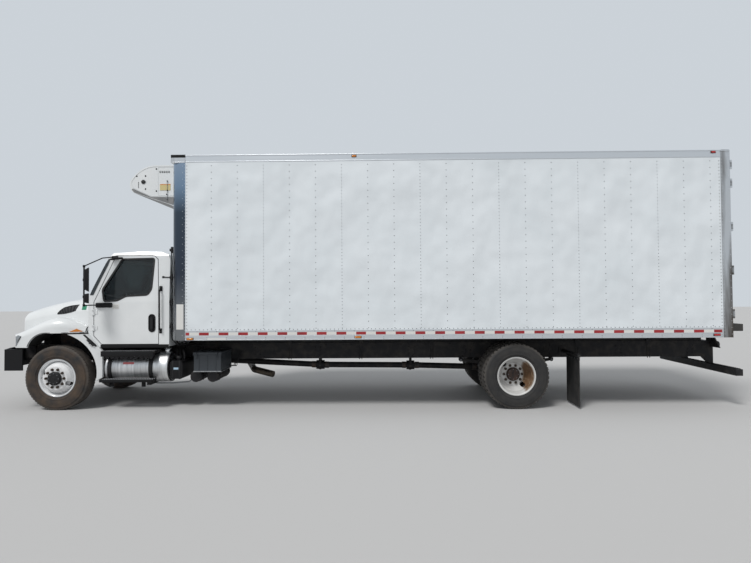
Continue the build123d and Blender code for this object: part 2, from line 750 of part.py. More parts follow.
# Fender liners: the black arches over the front tyres that tilt with the hood
liner_radius = 735
liner_wall = 6
liner_inner_half = 700
liner_low = 1000
liner_rear = 140
with BuildPart() as fender_liners:
    with BuildSketch(Plane.XZ.offset(-1500)):
        with Locations(along(axle_back, wheel_z)):
            Circle(liner_radius + liner_wall)
            Circle(liner_radius, mode=Mode.SUBTRACT)
    extrude(amount=3000)
    add(hood_inner, mode=Mode.INTERSECT)
    slab(-1100, 1100, -liner_inner_half, liner_inner_half, 0, 2000, mode=Mode.SUBTRACT)
    slab(-1100, 1100, -1500, 1500, 0, liner_low, mode=Mode.SUBTRACT)
    slab(liner_rear, 1100, -1500, 1500, 0, 2000, mode=Mode.SUBTRACT)
save(fender_liners.part, "fender_liners")

# Fender skirts: the hollow panels behind the wheel between hood, cab and step
skirt_rear = 655
skirt_front = 150
skirt_rear_half = 1062
skirt_inner_half = 1010
skirt_wall = 20
skirt_foot = (562, 450)
skirt_bend = (518, 850)
skirt_outer_half = fender_half - 6
skirt_high = hood_skirt - 20
toe_slope = (cab_toe - cab_front) / (hood_skirt - cab_floor)
skirt_cab_back = cab_front + (hood_skirt - skirt_high) * toe_slope
skirt_cab_low = cab_floor + (cab_toe - skirt_rear) / toe_slope


def skirt_form(inset):
    """The outside of both skirts, or the hollow behind their faces when an inset is given."""
    with BuildPart() as form:
        with BuildSketch(Plane.XZ.offset(-1500)):
            with BuildLine():
                Polyline(along(skirt_front, skirt_high), along(skirt_cab_back, skirt_high),
                         along(skirt_rear, skirt_cab_low), along(skirt_rear, 500), along(*skirt_foot))
                ThreePointArc(along(*skirt_foot), along(*skirt_bend), along(skirt_front, skirt_high))
            make_face()
            if inset:
                offset(amount=-inset, kind=Kind.INTERSECTION)
        extrude(amount=3000)
        with BuildSketch(Plane.XY):
            with BuildLine():
                plan = [(skirt_front, skirt_outer_half - inset), (skirt_rear, skirt_rear_half - inset)]
                Polyline(*[(at(back), half) for back, half in plan],
                         *[(at(back), -half) for back, half in reversed(plan)], close=True)
            make_face()
        extrude(amount=2000, mode=Mode.INTERSECT)
    return form.part


skirt_outer = skirt_form(0)
skirt_hollow = skirt_form(skirt_wall)
with BuildPart() as fender_skirts:
    add(skirt_outer)
    add(skirt_hollow, mode=Mode.SUBTRACT)
    slab(-1100, 1100, -skirt_inner_half, skirt_inner_half, 0, 2000, mode=Mode.SUBTRACT)
save(fender_skirts.part, "fender_skirts")


# Cab: outside form, inside form, and the outlines of door and windows
door_outline = [(cab_door_front, 1165), (cab_door_front, belt_height), (835, 2440), (1450, 2440),
                (1510, 2380), (cab_door_rear, belt_height), (cab_door_rear, 1030), (630, 1030)]
window_outline = [(633, 1899), (664, 1714), (875, 1725), (1012, 1797), (1358, 1814), (1419, 1905),
                  (1454, 2396), (937, 2387)]


def grown(points, amount):
    """An outline pushed outward by a gap, or inward when the gap is negative."""
    with BuildSketch() as face:
        with BuildLine():
            Polyline(*[along(b, z) for b, z in points], close=True)
        make_face()
        if amount:
            offset(amount=amount, kind=Kind.INTERSECTION)
    return face.sketch


def cab_form(inset):
    """The outside of the cab, or its inside when an inset is given."""
    floor = cab_floor + min(inset, cab_floor_wall)
    with BuildPart() as form:
        with BuildSketch(Plane.XZ.offset(-1500)):
            with BuildLine():
                Polyline(along(cab_toe + inset, floor), along(cab_front + inset, hood_skirt + inset),
                         along(cab_front + inset, 1790), along(425 + inset, 1815 - inset * 0.2),
                         along(714 + inset, 2413 - inset * 0.4), along(790 + inset * 0.8, 2490 - inset),
                         along(1200, cab_roof - inset), along(1560, cab_roof - 8 - inset),
                         along(cab_rear - 30 - inset * 0.6, 2455 - inset * 0.4),
                         along(cab_rear - inset, 2380), along(cab_rear - inset, floor), close=True)
            make_face()
        extrude(amount=3000)
        half = cab_half - inset
        with BuildSketch(Plane.YZ.offset(at(2500))):
            with BuildLine():
                gutter = (half - cab_lean, 2440 - inset * 0.3)
                ridge = (half - cab_lean - 70, 2600 - inset)
                Polyline((half, 0), (half, belt_height), gutter, ridge, across(ridge), across(gutter),
                         (-half, belt_height), (-half, 0), close=True)
            make_face()
        extrude(amount=3000, mode=Mode.INTERSECT)
    return form.part


cab_outer = cab_form(0)
cab_inner = cab_form(cab_wall)
screen_wall = 14
cab_hinge_back = 512
cab_hinge_half = cab_half + 9
cab_hinge_heights = (1290, 1540)
cab_barrel_half = 30
cab_lug_half = 44
cab_pin_radius = 4
with BuildPart() as cab_shell:
    add(cab_outer)
    add(cab_inner, mode=Mode.SUBTRACT)
    for side in (1, -1):
        y0, y1 = sorted((side * cab_door_inner_half, side * 1500))
        with BuildSketch(Plane.XZ.offset(-y1)):
            add(grown(door_outline, cab_door_gap))
        extrude(amount=y1 - y0, mode=Mode.SUBTRACT)
    slab(380, 760, -850, 850, 1850, 2375, mode=Mode.SUBTRACT)
    slab(1600, 1800, -600, 600, 1850, 2250, mode=Mode.SUBTRACT)
    for side in (1, -1):
        y0, y1 = sorted((side * (rail_half - rail_flange), side * rail_half))
        for back in (700, 1560):
            slab(back, back + 100, y0, y1, rail_top, cab_floor + 10)
        for height in cab_hinge_heights:
            for end in (-1, 1):
                low, high = sorted((height + end * (cab_barrel_half + seat_gap), height + end * cab_lug_half))
                y0, y1 = sorted((side * (cab_half - 2), side * (cab_hinge_half + 9)))
                slab(470, 490, y0, y1, low, high)
                y0, y1 = sorted((side * (cab_hinge_half - 7), side * (cab_hinge_half + 7)))
                slab(489, cab_hinge_back, y0, y1, low, high)
                with Locations(Pos(at(cab_hinge_back), side * cab_hinge_half, (low + high) / 2)):
                    Cylinder(7, high - low)
            with Locations(Pos(at(cab_hinge_back), side * cab_hinge_half, height)):
                Cylinder(cab_pin_radius, 2 * cab_lug_half)
save(cab_shell.part, "cab_shell")

with BuildPart() as cab_glass:
    add(cab_outer)
    add(cab_form(screen_wall), mode=Mode.SUBTRACT)
    slab(cab_front - 50, cab_rear + 50, -1100, 1100, 0, 1850, mode=Mode.SUBTRACT)
    slab(cab_front - 50, cab_rear + 50, -1100, 1100, 2375, 2700, mode=Mode.SUBTRACT)
    slab(760, cab_rear - 40, -1100, 1100, 1800, 2400, mode=Mode.SUBTRACT)
    slab(cab_rear - 100, cab_rear + 50, -1100, 1100, 2250, 2400, mode=Mode.SUBTRACT)
    for side in (1, -1):
        y0, y1 = sorted((side * 850, side * 1100))
        slab(cab_front - 50, 800, y0, y1, 1800, 2400, mode=Mode.SUBTRACT)
        y0, y1 = sorted((side * 600, side * 1100))
        slab(cab_rear - 100, cab_rear + 50, y0, y1, 1800, 2400, mode=Mode.SUBTRACT)
save(cab_glass.part, "cab_glass")

# Cab doors with their glass and mirrors
# columns: low and high edge of each mirror head
mirror_rows = [(1861, 2243), (1682, 1845)]
for side, hand in ((1, "left"), (-1, "right")):
    y0, y1 = sorted((side * (cab_door_inner_half + cab_door_gap), side * 1500))
    with BuildPart() as door:
        add(cab_outer)
        add(cab_inner, mode=Mode.SUBTRACT)
        with BuildSketch(Plane.XZ.offset(-y1)):
            add(grown(door_outline, 0))
        extrude(amount=y1 - y0, mode=Mode.INTERSECT)
        with BuildSketch(Plane.XZ.offset(-y1)):
            add(grown(window_outline, 0))
        extrude(amount=y1 - y0, mode=Mode.SUBTRACT)
        for height in cab_hinge_heights:
            leaf_0, leaf_1 = sorted((side * (cab_half - 2), side * (cab_half + 6)))
            slab(cab_hinge_back, cab_hinge_back + 48, leaf_0, leaf_1, height - cab_barrel_half,
                 height + cab_barrel_half)
            with Locations(Pos(at(cab_hinge_back), side * cab_hinge_half, height)):
                Cylinder(9, 2 * cab_barrel_half)
                Cylinder(cab_pin_radius + seat_gap, 2 * cab_barrel_half, mode=Mode.SUBTRACT)
    save(door.part, "door_" + hand)
    with BuildPart() as pane:
        add(cab_form(20))
        add(cab_form(28), mode=Mode.SUBTRACT)
        with BuildSketch(Plane.XZ.offset(-y1)):
            add(grown(window_outline, 0))
        extrude(amount=y1 - y0, mode=Mode.INTERSECT)
    save(pane.part, "door_glass_" + hand)
    with BuildPart() as door_mirror:
        for low, high in mirror_rows:
            head_place = Pos(at(mirror_back), side * mirror_half, (low + high) / 2)
            with Locations(head_place * Rot(Z=side * mirror_turn)):
                Box(mirror_depth, mirror_width, high - low)
        tube_back = mirror_back - mirror_depth / 2 - 5
        elbow = (690, side * 1140, 2400)
        rod((tube_back, side * mirror_half, 1640), (tube_back, side * mirror_half, 2275), 12)
        rod((tube_back, side * mirror_half, 1655), (640, side * (cab_half + 25), 1655), 9)
        rod((tube_back, side * mirror_half, 2255), elbow, 9)
        with Locations(Pos(at(elbow[0]), elbow[1], elbow[2])):
            Sphere(11)
        rod(elbow, (815, side * (cab_half - 15), 2422), 8)
        y0, y1 = sorted((side * (cab_half - 46.7), side * (cab_half - 5)))
        slab(775, 870, y0, y1, 2396, 2444)
        y0, y1 = sorted((side * cab_half, side * (cab_half + 40)))
        slab(540, 800, y0, y1, 1612, 1690)
    save(door_mirror.part, "mirror_" + hand)

# Cab inside: two seats, the dashboard and the steering wheel
# columns: front, rear, inner half, outer half, low, high of cushion, backrest and pedestal
seat_rows = [
    (1010, 1490, 260, 740, 1330, 1450),
    (1400, 1560, 260, 740, 1450, 2050),
    (1080, 1450, 320, 680, cab_floor + cab_floor_wall, 1330),
]
with BuildPart() as seats:
    for side in (1, -1):
        for front, rear, inner, outer, low, high in seat_rows:
            y0, y1 = sorted((side * inner, side * outer))
            slab(front, rear, y0, y1, low, high)
save(seats.part, "seats")

column_radius = 30
dash_half = cab_half - cab_wall - 15
wheel_place = Pos(at(930), 500, 1690) * Rot(Y=-50)
with BuildPart() as dashboard:
    with BuildSketch(Plane.XZ.offset(-dash_half)):
        with BuildLine():
            Polyline(along(cab_front + cab_wall, 1300), along(cab_front + cab_wall, 1760), along(700, 1720),
                     along(790, 1640), along(760, 1400), along(620, 1300), close=True)
        make_face()
    extrude(amount=2 * dash_half)
    with Locations(wheel_place):
        Cylinder(column_radius + seat_gap, 400, align=(Align.CENTER, Align.CENTER, Align.MAX),
                 mode=Mode.SUBTRACT)
save(dashboard.part, "dashboard")

with BuildPart() as steering_wheel:
    with Locations(wheel_place):
        Torus(225, 16)
        Cylinder(50, 50)
        Box(450, 36, 14)
        Cylinder(column_radius, 260, align=(Align.CENTER, Align.CENTER, Align.MAX))
save(steering_wheel.part, "steering_wheel")

# Van body: floor on its beams, walls, roof and the rails that carry them
sill_width = 60
beam_wall = 8
beam_width = 60
beam_height = floor_bottom - body_bottom
beam_middle = (body_bottom + floor_bottom) / 2
beam_rows = int((body_length - rear_frame_depth - 260) / beam_pitch)
with BuildPart() as body_sills:
    for side in (1, -1):
        y0, y1 = sorted((side * (rail_half - rail_flange), side * (rail_half - rail_flange + sill_width)))
        slab(body_front + front_wall, body_rear, y0, y1, rail_top, body_bottom)
save(body_sills.part, "body_sills")

with BuildPart() as body_beams:
    for index in range(beam_rows):
        back = body_front + 200 + index * beam_pitch
        with BuildSketch(Plane.XZ.offset(-inner_half)):
            with Locations(along(back, beam_middle)):
                Rectangle(beam_width, beam_height)
            for end in (-1, 1):
                with Locations(along(back + end * (beam_wall + beam_width) / 2, beam_middle)):
                    Rectangle(beam_width, beam_height - 2 * beam_wall, mode=Mode.SUBTRACT)
        extrude(amount=2 * inner_half)
save(body_beams.part, "body_beams")

with BuildPart() as body_floor:
    slab(body_front + front_wall, body_rear - rear_frame_depth, -inner_half, inner_half, floor_bottom,
         floor_top)
save(body_floor.part, "body_floor")

side_front = body_front + post_reach
side_rear = body_rear - rear_frame_depth
for side, hand in ((1, "left"), (-1, "right")):
    y0, y1 = sorted((side * inner_half, side * body_half))
    with BuildPart() as body_side:
        slab(side_front, side_rear, y0, y1, bottom_rail_top, side_top)
    save(body_side.part, "body_side_" + hand)

with BuildPart() as side_rails:
    for side in (1, -1):
        y0, y1 = sorted((side * inner_half, side * body_half))
        slab(side_front, side_rear, y0, y1, body_bottom, bottom_rail_top)
        slab(side_front, side_rear, y0, y1, side_top, body_top)
save(side_rails.part, "side_rails")

curve_back = body_front + corner_radius
curve_half = body_half - corner_radius
front_half = curve_half - 40
with BuildPart() as corner_posts:
    for side in (1, -1):
        with BuildSketch(Plane.XY.offset(body_bottom)):
            with BuildLine():
                Line((at(side_front), side * body_half), (at(curve_back), side * body_half))
                RadiusArc((at(curve_back), side * body_half), (at(body_front), side * curve_half),
                          side * corner_radius)
                Polyline((at(body_front), side * curve_half), (at(body_front), side * front_half),
                         (at(body_front + front_wall), side * front_half),
                         (at(body_front + front_wall), side * inner_half),
                         (at(side_front), side * inner_half), (at(side_front), side * body_half))
            make_face()
        extrude(amount=side_top - body_bottom)
save(corner_posts.part, "corner_posts")

with BuildPart() as body_front_wall:
    slab(body_front, body_front + front_wall, -front_half, front_half, body_bottom, side_top)
save(body_front_wall.part, "body_front_wall")

with BuildPart() as body_roof:
    with BuildSketch(Plane.XY.offset(body_top - roof_wall)):
        with BuildLine():
            Polyline((at(side_rear), -inner_half), (at(side_front), -inner_half),
                     (at(side_front), -body_half), (at(curve_back), -body_half))
            RadiusArc((at(curve_back), -body_half), (at(body_front), -curve_half), -corner_radius)
            Line((at(body_front), -curve_half), (at(body_front), curve_half))
            RadiusArc((at(body_front), curve_half), (at(curve_back), body_half), -corner_radius)
            Polyline((at(curve_back), body_half), (at(side_front), body_half), (at(side_front), inner_half),
                     (at(side_rear), inner_half), (at(side_rear), -inner_half))
        make_face()
    extrude(amount=roof_wall - 5)
    slab(body_front, body_front + front_wall, -front_half, front_half, side_top, body_top - roof_wall)
save(body_roof.part, "body_roof")

# Rear frame, the two swing doors in it, dock bumpers and lamps
opening_half = body_half - rear_post_width
opening_high = body_top - rear_header_height
hinge_pin_radius = 6
# heights of the door hinges
lug_rows = [1460, 2130, 2800, 3470, 3760]
with BuildPart() as rear_frame:
    slab(side_rear, body_rear, -body_half, body_half, body_bottom, body_top)
    slab(side_rear - 10, body_rear + 10, -opening_half, opening_half, floor_top, opening_high,
         mode=Mode.SUBTRACT)
    for side in (1, -1):
        for height in lug_rows:
            y0, y1 = sorted((side * (body_half - hinge_inset - 16), side * (body_half - hinge_inset + 10)))
            slab(body_rear - 1, body_rear + hinge_reach + 10, y0, y1, height - 70, height - 40 - seat_gap)
            slab(body_rear - 1, body_rear + hinge_reach + 10, y0, y1, height + 40 + seat_gap, height + 70)
            with Locations(Pos(at(body_rear + hinge_reach), side * (body_half - hinge_inset), height)):
                Cylinder(hinge_pin_radius, 140)
save(rear_frame.part, "rear_frame")

pivot_back = body_rear + hinge_reach
pivot_half = body_half - hinge_inset
strap_wall = 6
strap_gap = 2
lock_rod_radius = 14
channel_width = 44
channel_depth = 40
door_middle_gap = 10
# places of the lock rods from the body's middle, and heights of the brackets that hold them
lock_rod_rows = (330, 860)
lock_bracket_rows = (1500, 2150, 2900, 3600)
for side, hand in ((1, "left"), (-1, "right")):
    with BuildPart() as cargo_door:
        y0, y1 = sorted((side * door_middle_gap / 2, side * (opening_half - door_clearance)))
        slab(body_rear - door_wall, body_rear, y0, y1, floor_top + door_clearance,
             opening_high - door_clearance)
        for height in lug_rows:
            y0, y1 = sorted((side * (opening_half - 130), side * pivot_half))
            slab(body_rear + strap_gap, body_rear + strap_gap + strap_wall, y0, y1, height - 40, height + 40)
            y0, y1 = sorted((side * (opening_half - 130), side * (opening_half - 20)))
            slab(body_rear - 1, body_rear + strap_gap + 1, y0, y1, height - 40, height + 40)
            with Locations(Pos(at(pivot_back), side * pivot_half, height)):
                Cylinder(13, 80)
                Cylinder(hinge_pin_radius + seat_gap, 80, mode=Mode.SUBTRACT)
        for place in lock_rod_rows:
            y0, y1 = sorted((side * place - channel_width / 2, side * place + channel_width / 2))
            slab(body_rear - channel_depth, body_rear + 1, y0, y1, floor_top, opening_high,
                 mode=Mode.SUBTRACT)
            rod((body_rear - channel_depth / 2, side * place, floor_top + 20),
                (body_rear - channel_depth / 2, side * place, opening_high - 20), lock_rod_radius)
            for height in lock_bracket_rows:
                slab(body_rear - channel_depth - 1, body_rear - 3, y0 - 1, y1 + 1, height - 25, height + 25)
    save(cargo_door.part, "cargo_door_" + hand)

dock_reach = 155
dock_low = 1198
dock_high = 1299
with BuildPart() as dock_bumpers:
    for side in (1, -1):
        y0, y1 = sorted((side * 900, side * (body_half - 15)))
        slab(body_rear, body_rear + dock_reach, y0, y1, dock_low, dock_high)
save(dock_bumpers.part, "dock_bumpers")

tail_lamp_back = rail_rear + lamp_plate_back + lamp_plate_wall
tail_lamp_height = 932
tail_lamp_radius = 42
with BuildPart() as tail_lamps:
    for side in (1, -1):
        for middle in (490, 590):
            with Locations(Pos(at(tail_lamp_back), side * middle, tail_lamp_height) * Rot(Y=-90)):
                Cylinder(tail_lamp_radius, 24, align=(Align.CENTER, Align.CENTER, Align.MIN))
save(tail_lamps.part, "tail_lamps")

# Refrigeration unit on the body's nose
unit_half = 950
unit_front = 1038
unit_low = 3233
unit_top = 3915
with BuildPart() as reefer_unit:
    with BuildSketch(Plane.XZ.offset(-unit_half)):
        with BuildLine():
            Line(along(body_front, unit_low), along(1104, 3470))
            ThreePointArc(along(1104, 3470), along(unit_front, 3590), along(1100, 3730))
            ThreePointArc(along(1100, 3730), along(1250, 3860), along(1450, unit_top))
            Polyline(along(1450, unit_top), along(body_front, unit_top), along(body_front, unit_low))
        make_face()
    extrude(amount=2 * unit_half)
save(reefer_unit.part, "reefer_unit")
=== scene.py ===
import math

import bmesh
import bpy
from mathutils import Matrix, Vector
from mathutils.bvhtree import BVHTree


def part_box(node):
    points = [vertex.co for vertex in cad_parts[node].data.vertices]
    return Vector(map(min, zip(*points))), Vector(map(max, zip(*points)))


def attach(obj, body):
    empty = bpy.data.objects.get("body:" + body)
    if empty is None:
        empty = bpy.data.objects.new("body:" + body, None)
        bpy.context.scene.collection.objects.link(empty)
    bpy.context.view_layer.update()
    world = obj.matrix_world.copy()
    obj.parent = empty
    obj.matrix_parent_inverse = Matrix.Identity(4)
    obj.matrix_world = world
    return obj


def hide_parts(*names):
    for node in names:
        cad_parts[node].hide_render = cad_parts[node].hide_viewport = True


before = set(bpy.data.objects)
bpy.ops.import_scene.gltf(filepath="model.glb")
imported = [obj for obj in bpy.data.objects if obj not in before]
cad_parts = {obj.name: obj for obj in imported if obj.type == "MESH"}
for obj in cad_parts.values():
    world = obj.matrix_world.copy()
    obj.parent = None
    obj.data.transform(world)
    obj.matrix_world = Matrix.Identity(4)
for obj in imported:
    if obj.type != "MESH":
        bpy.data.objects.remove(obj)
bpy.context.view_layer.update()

# Where things stand. The truck is measured backwards from a datum just behind its front axle, in
# metres, 1.82 ahead of the van body, with the ground at zero and the truck's middle at zero sideways.
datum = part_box("body_front_wall")[1].x + 1.82


def at(back):
    """The place along the truck of a point this far behind the datum."""
    return datum - back


# The view. The camera stands at eye height, level with the middle of the van body, and turns less
# than a degree from square, as the photograph's perspective shows.


def placed(name, data):
    """An object with this data, put in the scene."""
    made = bpy.data.objects.new(name, data)
    bpy.context.scene.collection.objects.link(made)
    return made


camera_data = bpy.data.cameras.new("eye_level_camera")
camera_data.sensor_width = 36
camera_data.lens = 27.04
camera = placed("eye_level_camera", camera_data)
camera.location = (at(5.132), 10.02, 1.79)
camera.rotation_euler = [math.radians(turn) for turn in (91.336, 0.393, -179.257)]
bpy.context.scene.camera = camera
bpy.context.scene.view_settings.view_transform = "Standard"

# The stage. A plain pale floor under a pale surround, with one broad soft lamp high ahead on the
# driver's side, at a level where a colour renders about as it is written.
floor_half = 60
floor_mesh = bpy.data.meshes.new("studio_floor")
floor_mesh.from_pydata([(-floor_half, -floor_half, 0), (floor_half, -floor_half, 0),
    (floor_half, floor_half, 0), (-floor_half, floor_half, 0)], [], [(0, 1, 2, 3)])
floor = placed("studio_floor", floor_mesh)
floor_finish = bpy.data.materials.new("pale floor")
floor_finish.use_nodes = True
floor_shader = floor_finish.node_tree.nodes["Principled BSDF"]
floor_shader.inputs["Base Color"].default_value = (0.5, 0.5, 0.5, 1)
floor_shader.inputs["Roughness"].default_value = 0.85
floor_mesh.materials.append(floor_finish)

surround = bpy.data.worlds.new("pale surround")
surround.use_nodes = True
surround_tree = surround.node_tree
surround_light = surround_tree.nodes["Background"]
surround_light.inputs["Color"].default_value = (0.96, 0.98, 1.0, 1)
surround_light.inputs["Strength"].default_value = 0.53
backdrop = surround_tree.nodes.new("ShaderNodeBackground")
backdrop.inputs["Color"].default_value = (0.6, 0.645, 0.69, 1)
path = surround_tree.nodes.new("ShaderNodeLightPath")
seen = path.outputs["Is Camera Ray"]
for ray in ("Is Glossy Ray", "Is Transmission Ray"):
    either = surround_tree.nodes.new("ShaderNodeMath")
    either.operation = "ADD"
    either.use_clamp = True
    surround_tree.links.new(seen, either.inputs[0])
    surround_tree.links.new(path.outputs[ray], either.inputs[1])
    seen = either.outputs[0]
choice = surround_tree.nodes.new("ShaderNodeMixShader")
for number, source in enumerate((seen, surround_light.outputs[0], backdrop.outputs[0])):
    surround_tree.links.new(source, choice.inputs[number])
surround_tree.links.new(choice.outputs[0], surround_tree.nodes["World Output"].inputs["Surface"])
bpy.context.scene.world = surround

lamp_data = bpy.data.lights.new("soft_lamp", "SUN")
lamp_data.energy = 2.05
lamp_data.angle = math.radians(16)
lamp_data.color = (1.0, 0.985, 0.965)
lamp = placed("soft_lamp", lamp_data)
lamp.rotation_euler = Vector((-0.4, -0.62, -1.0)).to_track_quat("-Z", "Y").to_euler()

# Van body sides. Pre-painted aluminium sheets 1.2 m wide, riveted over posts every 0.4 m. The thin
# sheet shows soft dents between the posts and fine upright streaks.


class Finish:
    """A material with its shader and the object's own coordinates, ready for its texture."""

    def __init__(self, name, colour, roughness, metallic=0.0, coat=0.0):
        self.material = bpy.data.materials.new(name)
        self.material.use_nodes = True
        self.tree = self.material.node_tree
        self.shader = self.tree.nodes["Principled BSDF"]
        for label, value in (("Base Color", (*colour, 1)), ("Roughness", roughness), ("Metallic", metallic),
                ("Coat Weight", coat), ("Coat Roughness", 0.08)):
            self.shader.inputs[label].default_value = value
        self.place = self.node("TexCoord").outputs["Object"]

    def node(self, kind, **given):
        """A new shader node with these sockets linked or set; a name's underscore stands for a space."""
        made = self.tree.nodes.new("ShaderNode" + kind)
        for label, value in given.items():
            self.feed(made.inputs[label.replace("_", " ")], value)
        return made

    def feed(self, socket, value):
        """Links a socket to another one, or sets it to a number."""
        if isinstance(value, bpy.types.NodeSocket):
            self.tree.links.new(value, socket)
        else:
            socket.default_value = value

    def sum(self, operation, *values):
        """The result of a sum on up to three values."""
        made = self.node("Math")
        made.operation = operation
        for socket, value in zip(made.inputs, values):
            self.feed(socket, value)
        return made.outputs[0]

    def axis(self, letter):
        """One of the object's own coordinates."""
        return self.node("SeparateXYZ", Vector=self.place).outputs[letter]

    def noise(self, scale, stretch=(1, 1, 1), detail=3.0):
        """A noise value over the object, stretched along any axis."""
        mapping = self.node("Mapping", Vector=self.place, Scale=stretch)
        return self.node("TexNoise", Vector=mapping.outputs[0], Scale=scale, Detail=detail).outputs["Fac"]

    def blend(self, value, low, high, first, second):
        """Colours the shader from first to second as a value goes from low to high."""
        ramp = self.node("ValToRGB", Fac=value)
        for element, position, colour in zip(ramp.color_ramp.elements, (low, high), (first, second)):
            element.position = position
            element.color = (*colour, 1)
        self.feed(self.shader.inputs["Base Color"], ramp.outputs["Color"])
        return ramp

    def roughen(self, value, low, high):
        """Varies the roughness with a value."""
        self.feed(self.shader.inputs["Roughness"], self.node("MapRange", Value=value, To_Min=low,
            To_Max=high).outputs[0])

    def emboss(self, value, distance, strength=1.0):
        """Raises the surface by a value, on top of any relief it already has."""
        normal = self.shader.inputs["Normal"]
        relief = self.node("Bump", Height=value, Distance=distance, Strength=strength)
        if normal.is_linked:
            self.feed(relief.inputs["Normal"], normal.links[0].from_socket)
        self.feed(normal, relief.outputs[0])

    def window(self, value, low, high, soft):
        """1 where a value lies between low and high, falling to 0 over a soft edge."""
        ends = [self.node("MapRange", Value=value, From_Min=start, From_Max=end).outputs[0]
            for start, end in ((low - soft, low), (high + soft, high))]
        return self.sum("MULTIPLY", *ends)

    def mix_in(self, amount, colour):
        """Lays a second colour over what the shader has by an amount from 0 to 1."""
        base = self.shader.inputs["Base Color"]
        mixer = self.node("Mix")
        mixer.data_type = "RGBA"
        self.feed(mixer.inputs[6], base.links[0].from_socket if base.is_linked else base.default_value)
        self.feed(mixer.inputs[7], (*colour, 1))
        self.feed(mixer.inputs[0], amount)
        self.feed(base, mixer.outputs[2])


def dress(finish, *nodes):
    """Gives CAD nodes this finish."""
    for node in nodes:
        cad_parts[node].data.materials.clear()
        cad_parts[node].data.materials.append(finish.material)


panel_white = Finish("prepainted white sheet", (0.7, 0.755, 0.79), 0.42, coat=0.2)
panel_white.blend(panel_white.noise(1.3), 0.25, 0.75, (0.7, 0.75, 0.785), (0.755, 0.8, 0.835))
panel_white.emboss(panel_white.noise(1.5, (1, 1, 0.8), 2), 0.095, 1.0)
panel_white.emboss(panel_white.noise(14, (1, 1, 0.05), 2), 0.0012, 0.6)
dress(panel_white, "body_side_left", "body_side_right", "body_front_wall", "body_roof", "cargo_door_left",
    "cargo_door_right")

# Body rails. Extruded aluminium along the top and bottom of each side, brushed along their length,
# with the floor's cross beams and the bright rear frame bolted between them.
rail_bright = Finish("brushed rail aluminium", (0.7, 0.72, 0.74), 0.34, metallic=1.0)
brushing = rail_bright.noise(26, (0.03, 1, 1), 4)
rail_bright.roughen(brushing, 0.26, 0.46)
rail_bright.emboss(brushing, 0.0006, 0.3)
dress(rail_bright, "side_rails")

stainless = Finish("polished stainless", (0.42, 0.44, 0.46), 0.14, metallic=1.0)
polish = stainless.noise(9, (1, 1, 0.06), 4)
stainless.roughen(polish, 0.08, 0.22)
stainless.emboss(stainless.noise(2.2), 0.004, 0.35)
dress(stainless, "grille")
# The corner posts' colour changes with height: grey low down, dark navy through the middle and pale blue at
# the top. This is a painted reflection of ground, dark surroundings and sky in the polished steel.
post_painted_reflection = Finish("stainless post with painted reflection", (0.1, 0.12, 0.15), 0.16, metallic=1.0)
post_run = post_painted_reflection.node("MapRange", Value=post_painted_reflection.axis("Z"), From_Min=1.1, From_Max=3.95).outputs[0]
post_reflection_ramp = post_painted_reflection.blend(post_run, 0.06, 0.36, (0.24, 0.25, 0.26), (0.055, 0.065, 0.085))
for position, colour in ((0.7, (0.065, 0.085, 0.11)), (0.84, (0.22, 0.31, 0.42)), (1.0, (0.34, 0.42, 0.52))):
    post_reflection_ramp.color_ramp.elements.new(position).color = (*colour, 1)
post_painted_reflection.roughen(post_painted_reflection.noise(9, (1, 1, 0.06), 4), 0.1, 0.26)
dress(post_painted_reflection, "corner_posts")
frame_metal = Finish("grimed stainless frame", (0.45, 0.46, 0.47), 0.3, metallic=0.9)
grime = frame_metal.sum("MULTIPLY_ADD", frame_metal.axis("Z"), 0.11, frame_metal.noise(6, (1, 1, 0.15), 5))
frame_metal.blend(grime, 0.62, 0.93, (0.1, 0.085, 0.072), (0.6, 0.62, 0.64))
frame_metal.roughen(frame_metal.noise(9, (1, 1, 0.06), 4), 0.2, 0.45)
dress(frame_metal, "rear_frame")

galvanised = Finish("galvanised beams", (0.32, 0.33, 0.34), 0.5, metallic=0.8)
spangle = galvanised.noise(35, (1, 1, 1), 5)
galvanised.blend(spangle, 0.35, 0.65, (0.24, 0.25, 0.26), (0.4, 0.41, 0.42))
galvanised.roughen(spangle, 0.4, 0.65)
dress(galvanised, "body_beams")

floor_metal = Finish("ribbed floor aluminium", (0.52, 0.53, 0.54), 0.42, metallic=1.0)
floor_metal.emboss(floor_metal.noise(22, (0.02, 1, 0.02), 2), 0.003, 0.8)
dress(floor_metal, "body_floor")

# Cab and hood shells. Thick gelcoat-like white paint over moulded panels: a wet gloss with faint
# orange peel and soft changes of tone.
cab_white = Finish("cab white", (0.75, 0.77, 0.78), 0.3, coat=0.6)
cab_white.blend(cab_white.noise(2.4), 0.35, 0.7, (0.72, 0.745, 0.755), (0.77, 0.79, 0.8))
cab_white.emboss(cab_white.noise(160, detail=1), 0.0003, 0.25)
dress(cab_white, "cab_shell", "door_left", "door_right", "hood", "fender_skirts", "reefer_unit")

# Chassis. The frame and the axles are chassis black, dulled by road dust in soft patches. Castings,
# grained mouldings, rubber, tinted glass, lenses and the seats' cloth follow.
chassis_black = Finish("chassis black", (0.018, 0.018, 0.02), 0.55)
chassis_black.shader.inputs["Specular IOR Level"].default_value = 0.25
dust = chassis_black.noise(7, detail=6)
chassis_black.blend(dust, 0.45, 0.8, (0.014, 0.014, 0.016), (0.055, 0.05, 0.045))
chassis_black.roughen(dust, 0.42, 0.85)
dress(chassis_black, "chassis_frame", "cab_steps", "air_tanks", "radiator", "front_axle", "rear_axle",
    "springs", "driveshaft", "tie_rod", "knuckle_left", "knuckle_right", "rear_guard", "body_sills")

cast_iron = Finish("cast iron", (0.06, 0.06, 0.062), 0.7, metallic=0.4)
casting = cast_iron.noise(14, detail=6)
cast_iron.blend(casting, 0.4, 0.75, (0.045, 0.045, 0.048), (0.11, 0.075, 0.055))
cast_iron.emboss(cast_iron.noise(120), 0.0008, 0.5)
dress(cast_iron, "engine", "gearbox")

